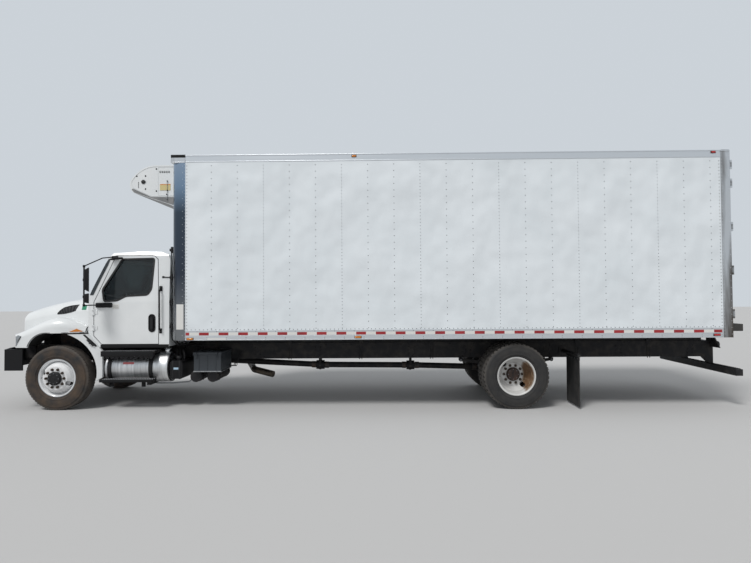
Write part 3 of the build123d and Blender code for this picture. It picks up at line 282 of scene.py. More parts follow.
moulded_black = Finish("moulded black plastic", (0.012, 0.012, 0.013), 0.5)
moulded_black.shader.inputs["Specular IOR Level"].default_value = 0.16
moulded_black.emboss(moulded_black.noise(300, detail=2), 0.0005, 0.5)
moulded_black.roughen(moulded_black.noise(5), 0.4, 0.62)
dress(moulded_black, "front_bumper", "fender_liners", "mirror_left", "mirror_right", "battery_box",
    "fluid_tank", "dashboard", "steering_wheel")

flap_rubber = Finish("black rubber", (0.02, 0.02, 0.021), 0.75)
flap_rubber.blend(flap_rubber.noise(6, detail=5), 0.4, 0.75, (0.014, 0.014, 0.015), (0.045, 0.043, 0.04))
dress(flap_rubber, "dock_bumpers", "mud_flaps")

glass = Finish("tinted glass", (0.2, 0.26, 0.265), 0.03)
glass.shader.inputs["Transmission Weight"].default_value = 1.0
glass.roughen(glass.noise(5, detail=5), 0.02, 0.06)
dress(glass, "cab_glass", "door_glass_left", "door_glass_right")

lamp_lens = Finish("clear lamp lens", (0.2, 0.22, 0.24), 0.1, coat=0.9)
lamp_lens.emboss(lamp_lens.noise(60, (1, 1, 0.1), 1), 0.0006, 0.5)
dress(lamp_lens, "headlamps")
red_lens = Finish("red lens", (0.42, 0.015, 0.012), 0.15, coat=0.7)
red_lens.emboss(red_lens.noise(160, (1, 0.1, 1), 0), 0.0008, 0.6)
dress(red_lens, "tail_lamps")
seat_cloth = Finish("seat cloth", (0.05, 0.05, 0.056), 0.9)
seat_cloth.emboss(seat_cloth.noise(400), 0.001, 0.6)
dress(seat_cloth, "seats")

# Panel rivets and laps. Small forms are drawn in bmesh from places given as (back, side, height), and
# the hundreds of rivet heads and screws are set out by one node group along rows of points.


def edges_of(corners):
    """The edges at these corners, each once and always in the same order."""
    return list(dict.fromkeys(edge for corner in corners for edge in corner.link_edges))


def block(form, backs, sides, heights, bevel=0.0):
    """A box between two places back, two sides and two heights, with its edges rounded off."""
    corners = bmesh.ops.create_cube(form, size=1)["verts"]
    span = Vector((backs[1] - backs[0], sides[1] - sides[0], heights[1] - heights[0]))
    middle = Vector((at((backs[0] + backs[1]) / 2), (sides[0] + sides[1]) / 2, (heights[0] + heights[1]) / 2))
    for corner in corners:
        corner.co = middle + Vector(abs(s) * c for s, c in zip(span, corner.co))
    if bevel:
        bmesh.ops.bevel(form, geom=edges_of(corners), offset=bevel, segments=2, profile=0.5, affect="EDGES")


def loft(form, rings, joined=False):
    """Faces from each ring of points to the next, closed at both ends or joined round to the first."""
    for first, second in zip(rings, rings[1:] + (rings[:1] if joined else [])):
        for corners in zip(first, first[1:] + first[:1], second[1:] + second[:1], second):
            form.faces.new(corners)
    if not joined:
        form.faces.new(rings[0])
        form.faces.new(rings[-1])


def blocks(*rows):
    """A new form with a block for each row of places."""
    form = bmesh.new()
    for row in rows:
        block(form, *row)
    return form


def drawn(draw, *given):
    """A new form with one shape drawn in it."""
    form = bmesh.new()
    draw(form, *given)
    return form


def tube(form, points, radius, sides=10):
    """A round bar through points, closed at both ends."""
    path = [Vector((at(back), side, height)) for back, side, height in points]
    heading = (path[1] - path[0]).normalized()
    turn = heading.to_track_quat("Z", "Y")
    rings = []
    for index, point in enumerate(path):
        ahead = (path[min(index + 1, len(path) - 1)] - path[max(index - 1, 0)]).normalized()
        turn = heading.rotation_difference(ahead) @ turn
        heading = ahead
        angles = [2 * math.pi * step / sides for step in range(sides)]
        rings.append([form.verts.new(point + turn @ Vector((radius * math.cos(a), radius * math.sin(a), 0)))
            for a in angles])
    loft(form, rings)


def plate(form, outline, sides):
    """A flat plate with a side outline of (back, height) points, between two sides."""
    loft(form, [[form.verts.new((at(back), side, height)) for back, height in outline] for side in sides])


def turned(form, profile, centre, steps=48, side=1):
    """A closed profile of (radius, side) points turned about a sideways axis through (x, height)."""
    rings = []
    for step in range(steps):
        angle = 2 * math.pi * step / steps
        rings.append([form.verts.new((centre[0] + radius * math.cos(angle), side * place,
            centre[1] + radius * math.sin(angle))) for radius, place in profile])
    loft(form, rings, True)


def settle(form, name, finish, smooth=35, body="truck", stands_for=()):
    """Makes the drawn form a piece that rides on a body."""
    bmesh.ops.recalc_face_normals(form, faces=form.faces)
    mesh = bpy.data.meshes.new(name)
    form.to_mesh(mesh)
    form.free()
    mesh.materials.append(finish.material)
    mesh.polygons.foreach_set("use_smooth", [True] * len(mesh.polygons))
    mesh.set_sharp_from_angle(angle=math.radians(smooth))
    piece = placed(name, mesh)
    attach(piece, body)
    if stands_for:
        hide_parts(*stands_for)
    return piece


def head_nodes():
    """A node group that sets a domed head on each point, turned to the way the point faces."""
    tree = bpy.data.node_groups.new("set_heads", "GeometryNodeTree")
    for label, kind in (("Points", "Geometry"), ("Radius", "Float"), ("Height", "Float"),
            ("Finish", "Material")):
        tree.interface.new_socket(label, in_out="INPUT", socket_type="NodeSocket" + kind)
    tree.interface.new_socket("Heads", in_out="OUTPUT", socket_type="NodeSocketGeometry")
    given = tree.nodes.new("NodeGroupInput")
    made = tree.nodes.new("NodeGroupOutput")
    head = tree.nodes.new("GeometryNodeMeshCone")
    head.inputs["Vertices"].default_value = 8
    rim = tree.nodes.new("ShaderNodeMath")
    rim.operation = "MULTIPLY"
    rim.inputs[1].default_value = 0.55
    facing = tree.nodes.new("GeometryNodeInputNamedAttribute")
    facing.data_type = "FLOAT_VECTOR"
    facing.inputs["Name"].default_value = "facing"
    turn = tree.nodes.new("FunctionNodeAlignRotationToVector")
    turn.axis = "Z"
    spread = tree.nodes.new("GeometryNodeInstanceOnPoints")
    real = tree.nodes.new("GeometryNodeRealizeInstances")
    paint = tree.nodes.new("GeometryNodeSetMaterial")
    joins = ((given.outputs["Radius"], head.inputs["Radius Bottom"]),
        (given.outputs["Radius"], rim.inputs[0]), (rim.outputs[0], head.inputs["Radius Top"]),
        (given.outputs["Height"], head.inputs["Depth"]), (facing.outputs["Attribute"], turn.inputs["Vector"]),
        (given.outputs["Points"], spread.inputs["Points"]), (head.outputs["Mesh"], spread.inputs["Instance"]),
        (turn.outputs["Rotation"], spread.inputs["Rotation"]),
        (spread.outputs["Instances"], real.inputs["Geometry"]),
        (real.outputs["Geometry"], paint.inputs["Geometry"]),
        (given.outputs["Finish"], paint.inputs["Material"]),
        (paint.outputs["Geometry"], made.inputs["Heads"]))
    for source, target in joins:
        tree.links.new(source, target)
    return tree


set_heads = head_nodes()


def heads(name, rows, radius, height, finish, body="truck"):
    """Rivet or bolt heads at (back, side, height) places, each facing the way its row says."""
    mesh = bpy.data.meshes.new(name + "_places")
    mesh.from_pydata([(at(back), side, height) for (back, side, height), facing in rows], [], [])
    mesh.attributes.new("facing", "FLOAT_VECTOR", "POINT").data.foreach_set("vector",
        [part for place, facing in rows for part in facing])
    places = placed(name + "_places", mesh)
    modifier = places.modifiers.new("heads", "NODES")
    modifier.node_group = set_heads
    sockets = {item.name: item.identifier for item in set_heads.interface.items_tree
        if item.in_out == "INPUT"}
    modifier[sockets["Radius"]] = radius
    modifier[sockets["Height"]] = height
    modifier[sockets["Finish"]] = finish.material
    ready = places.evaluated_get(bpy.context.evaluated_depsgraph_get())
    piece = placed(name, bpy.data.meshes.new_from_object(ready))
    bpy.data.objects.remove(places)
    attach(piece, body)
    return piece


body_side = 1.295
seam_front = 2.064
seam_pitch = 1.2192
panel_low = 1.249
panel_high = 3.879
panel_end = 10.35
inch = 0.0254
# The rivet heads are coloured almost black. This is painted shade standing in for the shadowed side of each
# small bright head, so the columns read as dotted lines.
rivet_painted_shade = Finish("rivet heads with painted shade", (0.055, 0.06, 0.065), 0.38, metallic=0.5)
rivet_painted_shade.roughen(rivet_painted_shade.noise(40), 0.3, 0.55)
rivet_columns = [(seam_front + 0.021, 2), (panel_end - 0.021, 2)]
rivet_columns += [(seam_front + seam_pitch / 3 * column, 4 if column % 3 else 2) for column in range(1, 21)]
both_sides = ((1, "left"), (-1, "right"))
for side, hand in both_sides:
    out = (0, side, 0)
    rivets = []
    for back, pitch in rivet_columns:
        count = int((panel_high - panel_low - 0.04) / (pitch * inch))
        rivets += [((back, side * body_side, panel_low + 0.03 + step * pitch * inch), out)
            for step in range(count + 1)]
    for step in range(int((panel_end - seam_front) / (2.5 * inch))):
        rivets.append(((seam_front + 0.03 + step * 2.5 * inch, side * body_side, panel_low + 0.014), out))
    heads("panel_rivets_" + hand, rivets, 0.0066, 0.0028, rivet_painted_shade)
    laps = bmesh.new()
    for step in range(1, 7):
        seam = seam_front + seam_pitch * step
        block(laps, (seam - 0.02, seam + 0.0145), (side * body_side, side * (body_side + 0.0007)),
            (panel_low, panel_high))
    settle(laps, "panel_laps_" + hand, panel_white)

# Rails and posts. The bottom rail carries red and white reflecting tape over a rolled step and two
# rows of screws; the polished front post and rear frame are riveted; small lamps mark the corners.
rail_low = 1.098
rail_top = 3.99
tape_low = 1.176
tape_high = 1.22
tape_pitch = 0.3048
red_length = 0.152
first_red = 2.278
tape_white = Finish("white reflecting tape", (0.7, 0.7, 0.68), 0.35)
tape_white.emboss(tape_white.noise(900, detail=0), 0.0003, 0.5)
tape_red = Finish("red reflecting tape", (0.32, 0.018, 0.024), 0.35)
tape_red.blend(tape_red.noise(5), 0.3, 0.7, (0.26, 0.014, 0.02), (0.38, 0.024, 0.028))
tape_red.emboss(tape_red.noise(900, detail=0), 0.0003, 0.5)
screw_zinc = Finish("zinc screws", (0.28, 0.29, 0.3), 0.45, metallic=0.9)
screw_zinc.roughen(screw_zinc.noise(90), 0.3, 0.65)
amber_lens = Finish("amber lens", (0.62, 0.2, 0.012), 0.18, coat=0.7)
amber_lens.emboss(amber_lens.noise(160, (1, 0.1, 1), 0), 0.0008, 0.6)

for side, hand in both_sides:
    out = (0, side, 0)
    face = side * body_side
    settle(blocks(((seam_front, panel_end), (face, face + side * 0.0035), (1.161, 1.168), 0.001),
        ((seam_front, panel_end), (face, face + side * 0.005), (rail_low + 0.001, rail_low + 0.011), 0.002),
        ((seam_front, panel_end), (face, face + side * 0.004), (panel_low - 0.007, panel_low + 0.001), 0.001),
        ((seam_front, panel_end), (face, face + side * 0.005), (panel_high - 0.002, panel_high + 0.01),
        0.002), ((1.82 + 0.21, panel_end + 0.14), (face, face + side * 0.006),
        (rail_top - 0.016, rail_top - 0.002), 0.002)), "rail_beads_" + hand, rail_bright)
    settle(blocks(((seam_front + 0.004, panel_end - 0.02), (face, face + side * 0.0006),
        (tape_low, tape_high))), "white_tape_" + hand, tape_white)
    tape = bmesh.new()
    for step in range(-1, 27):
        start = max(first_red + step * tape_pitch, seam_front + 0.006)
        end = min(first_red + step * tape_pitch + red_length, panel_end - 0.022)
        block(tape, (start, end), (face, face + side * 0.001), (tape_low, tape_high))
    settle(tape, "red_tape_" + hand, tape_red)
    screws = []
    for step in range(27):
        back = 2.4 + step * 0.3048
        screws += [((back, face, height), out) for height in (1.112, 1.139)]
        screws.append(((back - 0.152, face, 1.234), out))
    heads("rail_screws_" + hand, screws, 0.0065, 0.003, screw_zinc)
    studs = [((seam_front + 0.02 + step * 4 * inch, face, 3.894), out) for step in range(82)]
    studs += [((2.052, face, 1.15 + step * 2 * inch), out) for step in range(54)]
    studs += [((2.018, face, 1.175 + step * 4 * inch), out) for step in range(27)]
    studs += [((10.368, face, 1.15 + step * 2 * inch), out) for step in range(56)]
    studs += [((10.478, face, 1.15 + step * 4 * inch), out) for step in range(28)]
    heads("post_rivets_" + hand, studs, 0.005, 0.0022, rail_bright)

    settle(blocks(((1.925, 2.035), (face, face + side * 0.0012), (1.27, 1.66)),
        ((2.4, 2.7), (face, face + side * 0.0012), (1.104, 1.134))), "blank_labels_" + hand, tape_white)

    cap = bmesh.new()
    inner = body_side - 0.155
    plate(cap, [(1.835, 3.876), (1.84, 3.978), (1.9, 3.994), (2.06, 3.994), (2.06, 3.876)],
        (side * inner, face + side * 0.004))
    block(cap, (1.84, 2.062), (side * inner, face + side * 0.006), (3.868, 3.884), 0.003)
    block(cap, (panel_end - 0.002, panel_end + 0.135), (face, face + side * 0.004), (3.955, 3.993), 0.004)
    settle(cap, "top_corner_caps_" + hand, frame_metal, 50)
    settle(blocks(((1.836, 2.064), (side * inner, face + side * 0.0075), (3.95, 3.996), 0.004)),
        "corner_crowns_" + hand, moulded_black, 50)

    lamp_rows = ((2.138, 1.122, amber_lens), (4.744, 1.137, amber_lens), (10.247, 1.14, red_lens),
        (4.699, 3.949, amber_lens), (10.245, 3.955, red_lens))
    for number, (back, height, lens) in enumerate(lamp_rows):
        lamp_half = 0.048 if number < 3 else 0.032
        settle(blocks(((back - lamp_half, back + lamp_half), (face + side * 0.004, face + side * 0.017),
            (height - 0.014, height + 0.014), 0.006)), "marker_lens_%s_%d" % (hand, number), lens, 60)
        settle(blocks(((back - lamp_half - 0.007, back + lamp_half + 0.007), (face, face + side * 0.007),
            (height - 0.019, height + 0.019), 0.003)), "marker_base_%s_%d" % (hand, number), moulded_black)

# Rear doors. Rubber seals run round each door, the lock rods have guides and forged handles, the hinge
# straps are bolted on, and red lamps stand in the header.
door_outer = 10.497
seal_half = 1.179
hinge_heights = (1.46, 2.13, 2.8, 3.47, 3.76)
for side, hand in both_sides:
    body = "cargo_door_" + hand
    back_face = (-1, 0, 0)
    seal = bmesh.new()
    outer_edge = side * seal_half
    inner_edge = side * 0.006
    for sides, heights in (((outer_edge, outer_edge - side * 0.014), (1.328, 3.857)),
            ((inner_edge, inner_edge + side * 0.012), (1.328, 3.857)),
            ((inner_edge, outer_edge), (1.328, 1.342)), ((inner_edge, outer_edge), (3.843, 3.857))):
        block(seal, (door_outer - 0.004, door_outer + 0.0015), sides, heights, 0.0007)
    settle(seal, "door_seals_" + hand, flap_rubber, body=body)
    fittings = bmesh.new()
    for place in (0.33, 0.86):
        for height in (1.5, 2.15, 2.9, 3.6):
            block(fittings, (door_outer - 0.006, door_outer + 0.002),
                (side * place - 0.055, side * place + 0.055), (height - 0.022, height + 0.022), 0.0015)
        handle_end = place + (0.34 if place < 0.5 else -0.3)
        block(fittings, (door_outer - 0.012, door_outer + 0.002), (side * place - 0.02, side * place + 0.02),
            (1.9, 2.), 0.003)
        block(fittings, (door_outer - 0.001, door_outer + 0.003), (side * place, side * handle_end),
            (1.935, 1.965), 0.001)
        block(fittings, (door_outer - 0.001, door_outer + 0.004),
            (side * (handle_end - 0.03), side * (handle_end + 0.03)), (1.925, 1.975), 0.001)
    settle(fittings, "lock_fittings_" + hand, galvanised, body=body)
    bolts = [((door_outer + 0.008, side * place, height + rise), back_face) for height in hinge_heights
        for place in (1.075, 1.125) for rise in (-0.02, 0.02)]
    heads("hinge_bolts_" + hand, bolts, 0.008, 0.003, screw_zinc, body)
    settle(blocks(((door_outer, door_outer + 0.0008), (side * 0.03, side * 1.15), (1.36, 1.41))),
        "door_tape_" + hand, tape_red, body=body)

settle(blocks(((door_outer, door_outer + 0.006), (-0.3, 0.3), (3.905, 3.955), 0.002)), "header_lamp_plate",
    moulded_black)
for number, place in enumerate((-0.2, 0.0, 0.2, -1.16, 1.16)):
    settle(blocks(((door_outer + 0.004, door_outer + 0.018), (place - 0.045, place + 0.045),
        (3.914, 3.944), 0.006)), "header_lamp_%d" % number, red_lens, 60)
settle(blocks(((door_outer - 0.14, door_outer + 0.001), (-1.17, 1.17), (1.3195, 1.3225), 0.001),
    *[((door_outer - 0.001, door_outer + 0.006), (place - 0.03, place + 0.03), (1.27, 1.315), 0.002)
    for place in (-0.9, -0.3, 0.3, 0.9)]), "sill_plate", galvanised)

# Tyres. Steer tyres have straight ribs with fine cuts and drive tyres have deep shoulder blocks; both
# have a crowned sidewall with moulded rings, black where flexed and brown with mud on the front pair.
wheel_height = 0.508
front_axle = sum(corner.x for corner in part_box("front_tyre_left")) / 2
rear_axle = sum(corner.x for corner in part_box("rear_tyres_left")) / 2
# columns: radius, share of the half width, of the outside of a tyre from bead to shoulder
sidewall = ((0.286, 0.66), (0.2995, 0.7), (0.304, 0.815), (0.318, 0.87), (0.336, 0.925), (0.34, 0.958),
    (0.349, 0.962), (0.353, 0.948), (0.376, 0.985), (0.402, 0.998), (0.428, 0.985), (0.446, 0.955),
    (0.45, 0.962), (0.458, 0.955), (0.462, 0.925), (0.48, 0.865))


def tyre_profile(half, grooves, shoulder, tread):
    """Half sections of a tyre joined across the tread, with grooves at these places across it."""
    outer = [(radius, half * share) for radius, share in sidewall]
    outer += [(0.494, half * 0.83), (shoulder, half * 0.76), (shoulder, half * 0.6)]
    crown = []
    for middle in grooves:
        crown += [(tread, middle + 0.006), (tread - 0.012, middle + 0.003), (tread - 0.012, middle - 0.003),
            (tread, middle - 0.006)]
    inner = [(radius, -place) for radius, place in reversed(outer)]
    return outer + crown + inner + [(0.2845, -half * 0.6), (0.2845, half * 0.6)]


def tyre(form, axle_x, middle, side, pitches, grooves, notch):
    """One tyre whose shoulder is cut into blocks; a pitch is one block and the gap after it."""
    half = 0.1425
    block_part = tyre_profile(half, grooves, 0.5065, 0.508)
    notch_part = tyre_profile(half, grooves, 0.5065 - notch, 0.508)
    rings = []
    for pitch in range(pitches):
        for share, section in ((0.02, block_part), (0.62, block_part), (0.68, notch_part),
                (0.96, notch_part)):
            angle = 2 * math.pi * (pitch + share) / pitches
            rings.append([form.verts.new((axle_x + radius * math.cos(angle), side * (middle + place),
                wheel_height + radius * math.sin(angle))) for radius, place in section])
    loft(form, rings, True)


def around_axle(finish, axle_x):
    """How far a point of a wheel stands from its axle."""
    shift = finish.node("Mapping", Vector=finish.place, Location=(-axle_x, 0, -wheel_height), Scale=(1, 0, 1))
    reach = finish.node("VectorMath")
    reach.operation = "LENGTH"
    finish.feed(reach.inputs[0], shift.outputs[0])
    return reach.outputs["Value"]


# columns: end, axle, middles of the tyres, blocks round, grooves, depth of the cuts, colour of the dirt
tyre_rows = (("front", front_axle, (1.03,), 66, (-0.058, -0.02, 0.02, 0.058), 0.006, (0.075, 0.052, 0.036)),
    ("rear", rear_axle, (1.0965, 0.7535), 46, (-0.036, 0.036), 0.017, (0.036, 0.034, 0.032)))
for end, axle_x, middles, pitches, grooves, notch, dirt in tyre_rows:
    rubber = Finish(end + " tyre rubber", (0.02, 0.02, 0.02), 0.82)
    patches = rubber.noise(8, detail=7)
    rubber.blend(patches, 0.3, 0.72, (0.015, 0.015, 0.016), dirt)
    reach = around_axle(rubber, axle_x)
    rubber.mix_in(rubber.sum("MULTIPLY", rubber.window(reach, 0.488, 0.6, 0.02), patches), (0.1, 0.09, 0.08))
    rubber.roughen(patches, 0.62, 0.95)
    rubber.emboss(rubber.noise(90, detail=5), 0.0012, 0.5)
    for side, hand in both_sides:
        form = bmesh.new()
        for middle in middles:
            tyre(form, axle_x, middle, side, pitches, grooves, notch)
        stands_for = "front_tyre_" + hand if end == "front" else "rear_tyres_" + hand
        body = "front_%s_wheel" % hand if end == "front" else "rear_%s_wheels" % hand
        settle(form, end + "_tread_" + hand, rubber, 38, body, (stands_for,))

# Wheels. Pressed white discs, bright in front and rust-stained on one side at the rear, with oil hubs,
# ten dark flange nuts on their studs and a valve; the brake drums inboard are darker.
nut_dark = Finish("oiled nuts", (0.05, 0.048, 0.045), 0.5, metallic=0.7)
nut_dark.blend(nut_dark.noise(70), 0.35, 0.7, (0.035, 0.035, 0.035), (0.13, 0.085, 0.055))
hub_black = Finish("hub black", (0.012, 0.012, 0.013), 0.45)
hub_black.shader.inputs["Specular IOR Level"].default_value = 0.3
hub_black.roughen(hub_black.noise(30), 0.3, 0.7)
hub_rusty = Finish("oily rusted hub", (0.035, 0.022, 0.018), 0.6)
hub_rusty.blend(hub_rusty.noise(24, detail=6), 0.35, 0.7, (0.022, 0.016, 0.014), (0.075, 0.04, 0.028))
# columns: end, axle, the drum's outer side, the disc's face, the rim's face, paint, stain
wheel_rows = (("front", front_axle, 1.098, 1.19, 1.142, (0.82, 0.83, 0.84), 0.0),
    ("rear", rear_axle, 0.86, 0.9485, 1.2085, (0.62, 0.62, 0.61), 0.85))
for end, axle_x, drum_side, disc_face, rim_face, colour, stain in wheel_rows:
    paint = Finish(end + " wheel paint", colour, 0.26, coat=0.5)
    grime = paint.noise(11, detail=6)
    reach = around_axle(paint, axle_x)
    paint.blend(grime, 0.3, 0.75, colour, tuple(part * 0.86 for part in colour))
    rust = paint.sum("MULTIPLY", paint.window(reach, 0.185, 0.262, 0.02),
        paint.window(grime, 0.62 - 0.2 * stain, 1.0, 0.12))
    if stain:
        trailing = paint.window(paint.axis("X"), axle_x - 0.3, axle_x - 0.165, 0.04)
        paint.mix_in(paint.sum("MULTIPLY", trailing, paint.window(reach, 0.165, 0.262, 0.02)),
            (0.26, 0.19, 0.125))
        paint.mix_in(paint.sum("MULTIPLY", trailing, rust), (0.15, 0.085, 0.045))
    inboard = paint.window(paint.sum("ABSOLUTE", paint.axis("Y")), 0.0, drum_side, 0.004)
    paint.mix_in(paint.sum("MULTIPLY", inboard, paint.window(reach, 0.0, 0.238, 0.004)), (0.07, 0.055, 0.048))
    paint.roughen(grime, 0.22, 0.6)
    for side, hand in both_sides:
        body = "front_%s_wheel" % hand if end == "front" else "rear_%s_wheels" % hand
        dress(paint, "front_wheel_" + hand if end == "front" else "rear_wheels_" + hand)
        nuts = bmesh.new()
        for number in range(10):
            angle = 2 * math.pi * number / 10
            middle = (axle_x + 0.143 * math.cos(angle), wheel_height + 0.143 * math.sin(angle))
            turned(nuts, ((0.0215, disc_face), (0.0215, disc_face + 0.005), (0.0, disc_face + 0.005),
                (0.0, disc_face)), middle, 14, side)
            turned(nuts, ((0.0205, disc_face + 0.004), (0.0205, disc_face + 0.024),
                (0.0175, disc_face + 0.0285), (0.0, disc_face + 0.0285), (0.0, disc_face + 0.004)), middle, 6,
                side)
            turned(nuts, ((0.0105, disc_face + 0.028), (0.0105, disc_face + 0.04), (0.0, disc_face + 0.04),
                (0.0, disc_face + 0.028)), middle, 10, side)
        bmesh.ops.remove_doubles(nuts, verts=nuts.verts, dist=0.0001)
        settle(nuts, end + "_nuts_" + hand, nut_dark, 30, body)
        hub = bmesh.new()
        hub_face = disc_face - (0.012 if end == "rear" else 0.0)
        turned(hub, ((0.107, hub_face + 0.001), (0.107, hub_face + 0.03), (0.1, hub_face + 0.036),
            (0.09, hub_face + 0.0485), (0.07, hub_face + 0.0505), (0.03, hub_face + 0.051),
            (0.026, hub_face + 0.055), (0.0, hub_face + 0.055), (0.0, hub_face + 0.0495),
            (0.0845, hub_face + 0.0488), (0.1045, hub_face + 0.03), (0.1045, hub_face + 0.001)),
            (axle_x, wheel_height), 48, side)
        bmesh.ops.remove_doubles(hub, verts=hub.verts, dist=0.0001)
        settle(hub, end + "_hub_" + hand, hub_black if end == "front" else hub_rusty, 40, body)
        bolt_rows = [((datum - (axle_x + 0.078 * math.cos(turn)), side * (hub_face + 0.049),
            wheel_height + 0.078 * math.sin(turn)), (0, side, 0))
            for turn in [2 * math.pi * step / 8 for step in range(8)]]
        heads(end + "_hub_bolts_" + hand, bolt_rows, 0.0075, 0.006, screw_zinc, body)
        settle(drawn(turned, ((0.289, rim_face - 0.003), (0.289, rim_face + 0.0008),
            (0.2993, rim_face + 0.0012), (0.2996, rim_face - 0.003)), (axle_x, wheel_height), 72, side),
            end + "_rim_lip_" + hand, rail_bright if end == "front" else paint, 40, body)
        valve = bmesh.new()
        foot = datum - (axle_x + 0.262)
        tube(valve, [(foot, side * (rim_face - 0.07), wheel_height),
            (foot + 0.004, side * (rim_face - 0.035), wheel_height),
            (foot + 0.012, side * (rim_face - 0.012), wheel_height)], 0.004, 8)
        settle(valve, end + "_valve_" + hand, hub_black, 40, body)

# Cab doors and glass. Black gaskets hold the panes, seals fill the shut lines, and the door has its
# bowl handle, a long grab rail behind it, and a black sill along the bottom of the cab.
door_outline = [(0.505, 1.165), (0.505, 1.7), (0.835, 2.44), (1.45, 2.44), (1.51, 2.38), (1.536, 1.7),
    (1.536, 1.03), (0.63, 1.03)]
window_outline = [(0.633, 1.899), (0.664, 1.714), (0.875, 1.725), (1.012, 1.797), (1.358, 1.814),
    (1.419, 1.905), (1.454, 2.396), (0.937, 2.387)]
belt = 1.7
cab_half = 1.03
lean = 0.05 / 0.74


def cab_face(height):
    """How far out the side of the cab lies at a height; it leans inward above the belt."""
    return cab_half - max(0, height - belt) * lean


def grown(points, amount):
    """A closed outline pushed outward by an amount."""
    pairs = list(zip(points, points[1:] + points[:1]))
    sign = 1 if sum(a[0] * b[1] - b[0] * a[1] for a, b in pairs) > 0 else -1
    moved = []
    for before, point, after in zip(points[-1:] + points[:-1], points, points[1:] + points[:1]):
        normals = [Vector((b[1] - a[1], a[0] - b[0])).normalized() * sign for a, b in ((before, point),
            (point, after))]
        miter = normals[0] + normals[1]
        moved.append(tuple(Vector(point) + miter * (amount / miter.dot(normals[0]))))
    return moved


def softened(points, radius, steps=4):
    """A closed outline with its corners rounded."""
    soft = []
    for before, point, after in zip(points[-1:] + points[:-1], points, points[1:] + points[:1]):
        corner = Vector(point)
        ends = [corner + (Vector(far) - corner).normalized() * min(radius,
            (Vector(far) - corner).length * 0.45) for far in (before, after)]
        for step in range(steps + 1):
            share = step / steps
            soft.append(tuple(ends[0] * (1 - share) ** 2 + corner * 2 * share * (1 - share)
                + ends[1] * share ** 2))
    return soft


def ring(form, outline, wide, narrow, low, high, place):
    """A band round an outline, from wide to narrow across and from low to high off the face."""
    loops = []
    for amount, level in ((wide, low), (wide, high), (narrow, high), (narrow, low)):
        loops.append([form.verts.new(place(u, v, level)) for u, v in grown(outline, amount)])
    loft(form, loops, True)


def sheet_over(form, outline, low, high, place):
    """A solid patch inside an outline, from low to high off the face."""
    loft(form, [[form.verts.new(place(u, v, level)) for u, v in outline] for level in (low, high)])


def capsule(middle, low, high, half, steps=8):
    """An upright outline with round ends."""
    points = []
    for centre, start in ((low + half, math.pi), (high - half, 0)):
        for step in range(steps + 1):
            turn = start + math.pi * step / steps
            points.append((middle + half * math.cos(turn), centre + half * math.sin(turn)))
    return points


gasket = Finish("window gasket", (0.012, 0.012, 0.013), 0.5)
gasket.roughen(gasket.noise(40), 0.4, 0.7)
trim_grey = Finish("cab trim", (0.05, 0.052, 0.056), 0.8)
trim_grey.emboss(trim_grey.noise(500, detail=1), 0.0004, 0.6)
liner_grey = Finish("headliner cloth", (0.16, 0.165, 0.17), 0.95)
liner_grey.emboss(liner_grey.noise(700, detail=1), 0.0004, 0.6)

